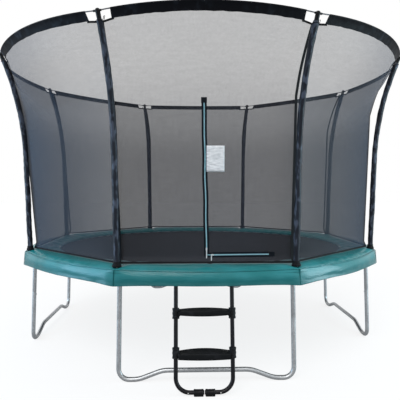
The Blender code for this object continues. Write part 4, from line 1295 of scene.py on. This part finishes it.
BAND_CLOTH = band_cloth()
seams, vees = [], []
for index in range(POLES):
    toward = across(pole_angle(index))
    line = net_line(index, 1.0)
    seams.append(ribbon(line, lambda i, t=toward: t, 0.024, 0.0022, BLACK_TAPE))
    for side in (-1, 1):
        shares = [side * (BAND_END - 0.01 + (1.0 - BAND_END + 0.01) * i / 4) for i in range(5)]
        tops = [net_column(index, share)[5] - UP * 0.004 for share in shares]
        vees.append(ribbon(tops, lambda i: UP, 0.016, 0.0024, BLACK_TAPE))
put_out("net_seam_bindings", joined(*seams, *vees), "frame", ["net_enclosure"])

hem_path = [net_line(sector, share)[0] for sector in range(POLES) for share in NET_SHARES]
hem_path.append(hem_path[0])
lifted = [point + UP * 0.003 for point in hem_path]
hem = ribbon(lifted, lambda i: UP, 0.007, 0.0026, BLACK_TAPE)
put_out("net_hem", hem, "frame", ["net_enclosure"])
cord_level = NET_HEM - 0.0045
corners = [polar(pole_angle(index), NET_HEM_RADIUS, cord_level) for index in range(POLES)]
cord_path = []
for index in range(POLES):
    corner, after = corners[index], corners[(index + 1) % POLES]
    cord_path += [(corner.lerp(after, i / 12), HEM_CORD) for i in range(12)]
CORD = webbing("laced_cord", (0.008, 0.008, 0.009), (0.022, 0.022, 0.025), 0.6, 1200.0)
tubes("net_hem_lacing", [cord_path], 10, CORD, "frame", ["net_hem_cord"], closed=True)

section = []
for step in range(11):
    turn = math.radians(-75 + 260 * step / 10)
    section.append((math.cos(turn) * 0.0066, math.sin(turn) * 0.0066))
hang = Vector((-BAND_INSET, -BAND_DROP)).normalized()
off = Vector((hang.y, -hang.x))
for depth, thick in (
    (0.030, 0.0031), (0.050, 0.0017), (0.070, 0.0014),
    (0.070, -0.0014), (0.050, -0.0018), (0.030, -0.0032),
):
    section.append(tuple(hang * depth + off * thick))
band_parts = []
for sector in range(POLES):
    points = []
    for station in range(BAND_STATIONS + 1):
        share = BAND_END * (-1 + 2 * station / BAND_STATIONS)
        out = polar(sector * SECTOR + share * HALF, 1)
        for aside, lift in section:
            depth = min(1.0, max(0.0, -lift / 0.06))
            lap = noise.noise(Vector((sector * 7 + share * 9.0, lift * 24, 2.2))) * 0.006
            hem = noise.noise(Vector((sector * 3 + share * 14.0, 4.0, 1.0))) * 0.004
            spot = rim_point(sector, share * (1 + 0.016 * depth)) + out * (aside + lap * depth)
            points.append(spot + UP * (lift + hem * depth))
    band_parts.append(solid_mesh(points, skin(BAND_STATIONS + 1, len(section)), BAND_CLOTH))
put_out("net_top_bands", joined(*band_parts), "frame", ["net_enclosure"], sharp=60)

# ---------------------------------------------------------------------------------------------
# Door: a corner of the front panel opens on an L-shaped zip with black tapes, a light-blue coil
# and a black tab at each end. Its flap folds inward on the line between the zip's two ends, and
# carries a white satin patch.

ZIP_LIFT = 0.0035
ZIP_DRIFT = 0.013
ZIP_TAPE = 0.0184
ZIP_PARTING = 0.0118
COIL_WIDTH = 0.009
TOOTH_PITCH = 0.0062
PATCH_LOW = (-0.003, 1.674)
PATCH_HIGH = (0.139, 1.880)
PATCH_CELLS = (12, 14)


def front_point(aside, height, lift=0.0):
    share = (height - NET_LEDGE) / (NET_BEND - NET_LEDGE)
    radius = NET_LEDGE_RADIUS + (NET_BEND_RADIUS - NET_LEDGE_RADIUS) * share
    return Vector((aside, -radius * math.cos(HALF) - lift, height))


flap_mesh = bpy.data.meshes.new("flap")
flap_work.to_mesh(flap_mesh)
flap_work.free()
flap_mesh.materials.append(NET_MESH)
cloth_map(flap_mesh)
flap = put_out("door_net", flap_mesh, "door", ["door_flap"], None, False)


def zip_line(shift, lift):
    """The zip's centre line moved out of the corner by shift, with a soft wander."""
    line = []
    for step in range(21):
        height = ZIP_TOP[1] + (ZIP_CORNER[1] - shift - ZIP_TOP[1]) * step / 20
        aside = ZIP_TOP[0] + (ZIP_CORNER[0] - ZIP_TOP[0]) * step / 20
        wander = 0.0024 * math.sin(step * 1.1) * math.sin(math.pi * step / 20)
        wander += ZIP_DRIFT * (step / 20) ** 1.5
        line.append(front_point(aside - shift + wander, height, lift))
    start = ZIP_CORNER[0] - shift + ZIP_DRIFT
    for step in range(1, 13):
        aside = start + (ZIP_END[0] - start) * step / 12
        height = ZIP_CORNER[1] + (ZIP_END[1] - ZIP_CORNER[1]) * step / 12
        line.append(front_point(aside, height - shift, lift))
    return line


def flat_side(line):
    """The direction across the tape at each point, in the net's plane."""

    def side(i):
        ahead = line[min(i + 1, len(line) - 1)] - line[max(i - 1, 0)]
        return ahead.cross(Vector((0, 1, 0)))

    return side


def trimmed(line, first, last):
    """The line with its ends drawn in by shares of its end spans."""
    return [line[0].lerp(line[1], first), *line[1:-1], line[-1].lerp(line[-2], last)]


ZIP_BLACK = webbing("zip_tape_black", (0.002, 0.004, 0.007), (0.006, 0.009, 0.014), 0.5)
# The coil is light blue; the palest end of its colour range is partly painted glints.
ZIP_BLUE = webbing("zip_coil_blue", (0.12, 0.34, 0.40), (0.50, 0.74, 0.84), 0.42, 1600.0)
outer_line = zip_line(ZIP_PARTING, ZIP_LIFT)
inner_line = trimmed(zip_line(-ZIP_PARTING, ZIP_LIFT), 0.38, 0.46)
coil_line = trimmed(zip_line(0.0, ZIP_LIFT + 0.0024), 0.66, 0.35)
outer_tape = ribbon(outer_line, flat_side(outer_line), ZIP_TAPE, 0.0016, ZIP_BLACK)
inner_tape = ribbon(inner_line, flat_side(inner_line), ZIP_TAPE, 0.0016, ZIP_BLACK)
put_out("zip_tape_fixed", outer_tape, "frame", ["zip_tape"])
put_out("zip_tape_flap", inner_tape, "door", ["zip_tape"])
coil = ribbon(coil_line, flat_side(coil_line), COIL_WIDTH, 0.0026, ZIP_BLUE)
put_out("zip_coil", coil, "frame", ["zip_tape"])

tooth_path = [(Vector((0, y, 0)), 0.0012) for y in (-0.0034, 0.0, 0.0034)]
tooth = tube_mesh([tooth_path], 5, ZIP_BLUE)
seats = []
for a, b in zip(coil_line, coil_line[1:]):
    count = max(1, round((b - a).length / TOOTH_PITCH))
    for step in range(count):
        spot = a.lerp(b, (step + 0.5) / count) - Vector((0, 0.0018, 0))
        seats.append((spot, (b - a).normalized(), Vector((0, -1, 0))))
seated("zip_teeth", tooth, seats, ZIP_BLUE, "frame")

tabs = []
for x, z, half_width, half_height in (
    (ZIP_TOP[0], ZIP_TOP[1] - 0.022, 0.023, 0.0225),
    (ZIP_END[0] + 0.010, ZIP_END[1], 0.022, 0.019),
):
    spot = front_point(x, z, ZIP_LIFT + 0.0021)
    halves = (Vector((half_width, 0, 0)), Vector((0, 0.0011, 0)), UP * half_height)
    tabs.append(box_mesh(spot, *halves, 0.0006, ZIP_BLACK))
put_out("zip_end_tabs", joined(*tabs), "frame")

SLIDER = moulded("zip_slider_metal", (0.60, 0.62, 0.64), (0.78, 0.79, 0.80), 0.3)
out = Vector((0, 0.0024, 0))
for arm, turn, x, z in (("vertical", 0.0, 0.011, 0.048), ("horizontal", math.pi / 2, 0.058, 0)):
    centre = front_point(ZIP_CORNER[0] + x, ZIP_CORNER[1] + z, ZIP_LIFT + 0.0062)
    ahead = Vector((math.sin(turn), 0, math.cos(turn)))
    aside = Vector((math.cos(turn), 0, -math.sin(turn)))
    parts = [box_mesh(centre, ahead * 0.011, aside * 0.0065, out, 0.0016, SLIDER)]
    bridge = centre - Vector((0, 0.0036, 0))
    parts.append(box_mesh(bridge, ahead * 0.006, aside * 0.0018, out * 0.6, 0.0009, SLIDER))
    if arm == "vertical":
        pull, reach = bridge - ahead * 0.040, 0.034
    else:
        pull, reach = bridge - UP * 0.024 - ahead * 0.008, 0.021
    wide = UP.cross(Vector((0, 1, 0)))
    parts.append(box_mesh(pull, UP * reach, wide * 0.0042, out * 0.5, 0.001, SLIDER))
    node = f"zip_slider_{arm}"
    put_out(f"{node}_body", joined(*parts), f"slider_{arm}", [node])


def patch_cloth():
    """Thin white satin, a little creased, with a sheen painted along its creases."""
    satin = Finish("patch_satin", (0.62, 0.63, 0.65), 0.45)
    crease = satin.clouds(1.0, 3.0, satin.stretched(24.0, 24.0, 110.0))
    fibre = satin.ridges(1500.0, "Z")
    # Painted sheen: the colour turns near white along the creases.
    painted_sheen = crease.between(0.25, 0.75)
    satin.put("Base Color", satin.blended(painted_sheen, (0.62, 0.63, 0.66), (0.96, 0.96, 0.98)))
    satin.put("Roughness", 0.38 + crease * 0.2)
    satin.bumped(crease + fibre * 0.05, 0.004, 0.7)
    return satin.material


patch_points = []
columns, rows = PATCH_CELLS
for row in range(rows + 1):
    for column in range(columns + 1):
        aside = PATCH_LOW[0] + (PATCH_HIGH[0] - PATCH_LOW[0]) * column / columns
        height = PATCH_LOW[1] + (PATCH_HIGH[1] - PATCH_LOW[1]) * row / rows
        middle = math.sin(math.pi * column / columns) * math.sin(math.pi * row / rows)
        lap = noise.noise(Vector((aside * 40, 2.0, height * 32))) * 0.003 * middle
        patch_points.append(front_point(aside, height, 0.0085 + lap + 0.001 * middle))
patch_faces = skin(rows + 1, columns + 1, tube=False)
patch_mesh = solid_mesh(patch_points, patch_faces, patch_cloth())
patch = put_out("satin_patch", patch_mesh, "door", sharp=None, repair=False)
thickened(patch, 0.0006)

# ---------------------------------------------------------------------------------------------
# Ladder: two rails of powder-coated tube, bent inward at the ground and joined in two moulded
# foot sleeves. Bowed steps of black plastic clamp round the rails, and flat steel hooks carry
# the whole on the ring, so that it can swing.

LADDER_CENTRE = -0.030
LADDER_HALF = 0.214
LADDER_TUBE = 0.016
LADDER_TOP = (-1.8365, 0.826)
LADDER_FOOT = -1.963
FOOT_SLEEVE = 0.0255
FOOT_OFFSET = 0.0435
LADDER_BEND = 0.105
STEP_HEIGHTS = {"upper": 0.600, "lower": 0.320}
STEP_STATIONS = 32
STEP_HALF = 0.196
STEP_DEPTH = 0.0425
STEP_PLATE = 0.0125
STEP_FRONT_BOW = 0.016
STEP_BACK_BOW = 0.036
STEP_APRONS = {"upper": 0.027, "lower": 0.042}
STEP_LIFTS = {"upper": 0.008, "lower": -0.018}
STEP_CROWNS = {"upper": 0.002, "lower": 0.006}
CLAMP_DROPS = {"upper": 0.005, "lower": 0.012}
STEP_CLAMP = 0.027
CLAMP_WAIST = 0.0252
CLAMP_HALF = 0.040
FOOT_GRIP = 0.0240
HINGE_Y = -1.79504
HOOK_REACH = 0.0235
HOOK_SHIFT = 0.0078


def powder_coat():
    """Black powder coat with a fine orange peel, scuffed grey on its lower parts."""
    coat = Finish("black_powder_coat", (0.005, 0.005, 0.007), 0.26, specular=0.22)
    peel = coat.clouds(260.0, 2.0)
    wear = coat.clouds(24.0, 6.0).between(0.60, 0.74)
    scuffed = wear * (1 - coat.along("Z").between(0.02, 0.30))
    coat.put("Base Color", coat.blended(scuffed, (0.004, 0.004, 0.006), (0.05, 0.05, 0.055)))
    coat.put("Roughness", 0.24 + peel * 0.08 + scuffed * 0.25)
    coat.bumped(peel, 0.0008, 0.4)
    return coat.material


def ladder_point(side, height):
    share = (LADDER_TOP[1] - height) / (LADDER_TOP[1] - FOOT_SLEEVE)
    y = LADDER_TOP[0] + (LADDER_FOOT - LADDER_TOP[0]) * share
    return Vector((LADDER_CENTRE + side * LADDER_HALF, y, height))


POWDER_COAT = powder_coat()
STEP_PLASTIC = moulded("step_plastic", (0.004, 0.005, 0.006), (0.014, 0.015, 0.018), 0.40, 500.0)
for side, label in ((-1, "left"), (1, "right")):
    top = ladder_point(side, LADDER_TOP[1])
    corner = ladder_point(side, FOOT_SLEEVE)
    middle = Vector((LADDER_CENTRE, LADDER_FOOT, FOOT_SLEEVE))
    bend = rounded(top, corner, middle, LADDER_BEND, 16)
    path = [(top, LADDER_TUBE), *[(p, LADDER_TUBE) for p in bend]]
    path.append((middle + Vector((side * 0.002, 0, 0)), LADDER_TUBE))
    centre = Vector((LADDER_CENTRE + side * LADDER_HALF, HINGE_Y, RING_HEIGHT))
    hook_path = [centre + Vector((0, -HOOK_SHIFT - HOOK_REACH - 0.004, -0.036))]
    for step in range(15):
        turn = math.radians(-8 + 196 * step / 14)
        shift = -HOOK_SHIFT if turn < math.pi / 2 else HOOK_SHIFT
        arm = Vector((0, -math.cos(turn), math.sin(turn))) * HOOK_REACH
        hook_path.append(centre + Vector((0, shift, 0)) + arm)
    hook = ribbon(hook_path, lambda i: Vector((1, 0, 0)), 0.026, 0.0028, POWDER_COAT)
    rail = joined(tube_mesh([path], 24, POWDER_COAT), hook)
    node = f"ladder_rail_{label}"
    put_out(f"ladder_tube_{label}", rail, "ladder", [node])

    sleeve_middle = LADDER_CENTRE + side * FOOT_OFFSET
    half = ((0.0365, 0.0225), (0.035, FOOT_GRIP), (0.024, FOOT_GRIP), (0.0225, 0.0228))
    profile = [(-x, width) for x, width in half] + [*half[::-1]]
    centre = Vector((sleeve_middle, LADDER_FOOT, FOOT_SLEEVE))
    grip = [(centre + x, width) for x, width in lathed(profile)]
    parts = [tube_mesh([grip], 28, STEP_PLASTIC)]
    shoe = Vector((sleeve_middle, LADDER_FOOT, 0.0100))
    reach = Vector((0.0360, 0, 0))
    parts.append(box_mesh(shoe, reach, Vector((0, 0.0200, 0)), UP * 0.0100, 0.003, STEP_PLASTIC))
    for rib in (-0.018, -0.006, 0.006, 0.018):
        rib_path = [(centre + Vector((rib + x, 0, 0)), 0.0237) for x in (-0.0016, 0.0016)]
        parts.append(tube_mesh([rib_path], 28, STEP_PLASTIC))
    node = f"ladder_foot_{label}"
    put_out(f"ladder_shoe_{label}", joined(*parts), "ladder", [node])

STEP_SECTION = (
    (-1.0, 0.10), (-0.985, 0.52), (-0.95, 0.62), (-0.88, 0.62), (-0.85, 0.50), (0.85, 0.50),
    (0.88, 0.62), (0.96, 0.62), (1.0, 0.40), (1.0, -0.55), (0.96, -0.75), (0.86, -0.75),
    (0.84, 0.12), (-0.84, 0.12), (-0.86, -0.85), (-0.93, -1.0), (-0.985, -0.85),
)


def step_point(label, share, y, z):
    """A point of a step; share runs along it and y across it, both from -1 to 1."""
    arch = 1 - share * share
    reach = STEP_DEPTH + (STEP_BACK_BOW if y > 0 else STEP_FRONT_BOW) * arch
    rise = STEP_LIFTS[label] + STEP_CROWNS[label] * arch
    middle = (ladder_point(-1, STEP_HEIGHTS[label]) + ladder_point(1, STEP_HEIGHTS[label])) / 2
    return middle + Vector((share * STEP_HALF, y * reach, rise + z))


for label, height in STEP_HEIGHTS.items():
    points = []
    for station in range(STEP_STATIONS + 1):
        share = -1 + 2 * station / STEP_STATIONS
        for y, z in STEP_SECTION:
            apron = STEP_APRONS[label] - 0.007 * share * share
            thick = apron if z < 0.11 and y < 0 else STEP_PLATE
            points.append(step_point(label, share, y, z * thick))
    faces = skin(STEP_STATIONS + 1, len(STEP_SECTION))
    parts = [solid_mesh(points, faces, STEP_PLASTIC)]
    for row in range(7):
        y = -0.66 + 1.30 * row / 6
        shares = [(-1 + station / 12) * 0.9 for station in range(25)]
        rib_path = [(step_point(label, share, y, 0.0062), 0.0013) for share in shares]
        parts.append(tube_mesh([rib_path], 6, STEP_PLASTIC))
    for side in (-1, 1):
        clamped = height - CLAMP_DROPS[label]
        low = ladder_point(side, clamped - CLAMP_HALF)
        ahead = (ladder_point(side, clamped + CLAMP_HALF) - low).normalized()
        profile = ((0, 0.0245), (0.0015, STEP_CLAMP), (0.014, STEP_CLAMP), (0.016, CLAMP_WAIST))
        profile += ((0.030, CLAMP_WAIST), (0.032, STEP_CLAMP), (0.048, STEP_CLAMP))
        profile += ((0.050, CLAMP_WAIST), (0.062, CLAMP_WAIST), (0.064, STEP_CLAMP))
        profile += ((0.0785, STEP_CLAMP), (0.080, 0.0245))
        clamp = [(low + ahead * x, width) for x, width in profile]
        parts.append(tube_mesh([clamp], 28, STEP_PLASTIC))
        wing = ladder_point(side, clamped - 0.004) - Vector((side * 0.022, 0, 0))
        halves = (Vector((0.010, 0, 0)), Vector((0, 0.034, 0)), UP * 0.013)
        parts.append(box_mesh(wing, *halves, 0.003, STEP_PLASTIC))
    node = f"ladder_step_{label}"
    put_out(f"ladder_tread_{label}", joined(*parts), "ladder", [node])

RIVET_STEEL = galvanised("bright_rivet", (0.5, 0.5, 0.5), (0.8, 0.8, 0.8), 0.2)
dome = lathed(((-0.002, 0.0046), (0.0006, 0.0046), (0.0018, 0.0034), (0.0023, 0.0012)))
rivet = tube_mesh([dome], 12, RIVET_STEEL)
front = Vector((0, -1, 0))
seats, screws = [], []
for side in (-1, 1):
    for height in STEP_HEIGHTS.values():
        for lift in (-0.023, 0.023):
            spot = ladder_point(side, height + lift) + front * 0.0262
            screws.append((spot, front, UP))
    foot = Vector((LADDER_CENTRE + side * 0.122, LADDER_FOOT - LADDER_TUBE, FOOT_SLEEVE))
    seats.append((foot, front, UP))
seated("ladder_rivets", rivet, seats, RIVET_STEEL, "ladder")
seated("step_screws", rivet, screws, POWDER_COAT, "ladder")
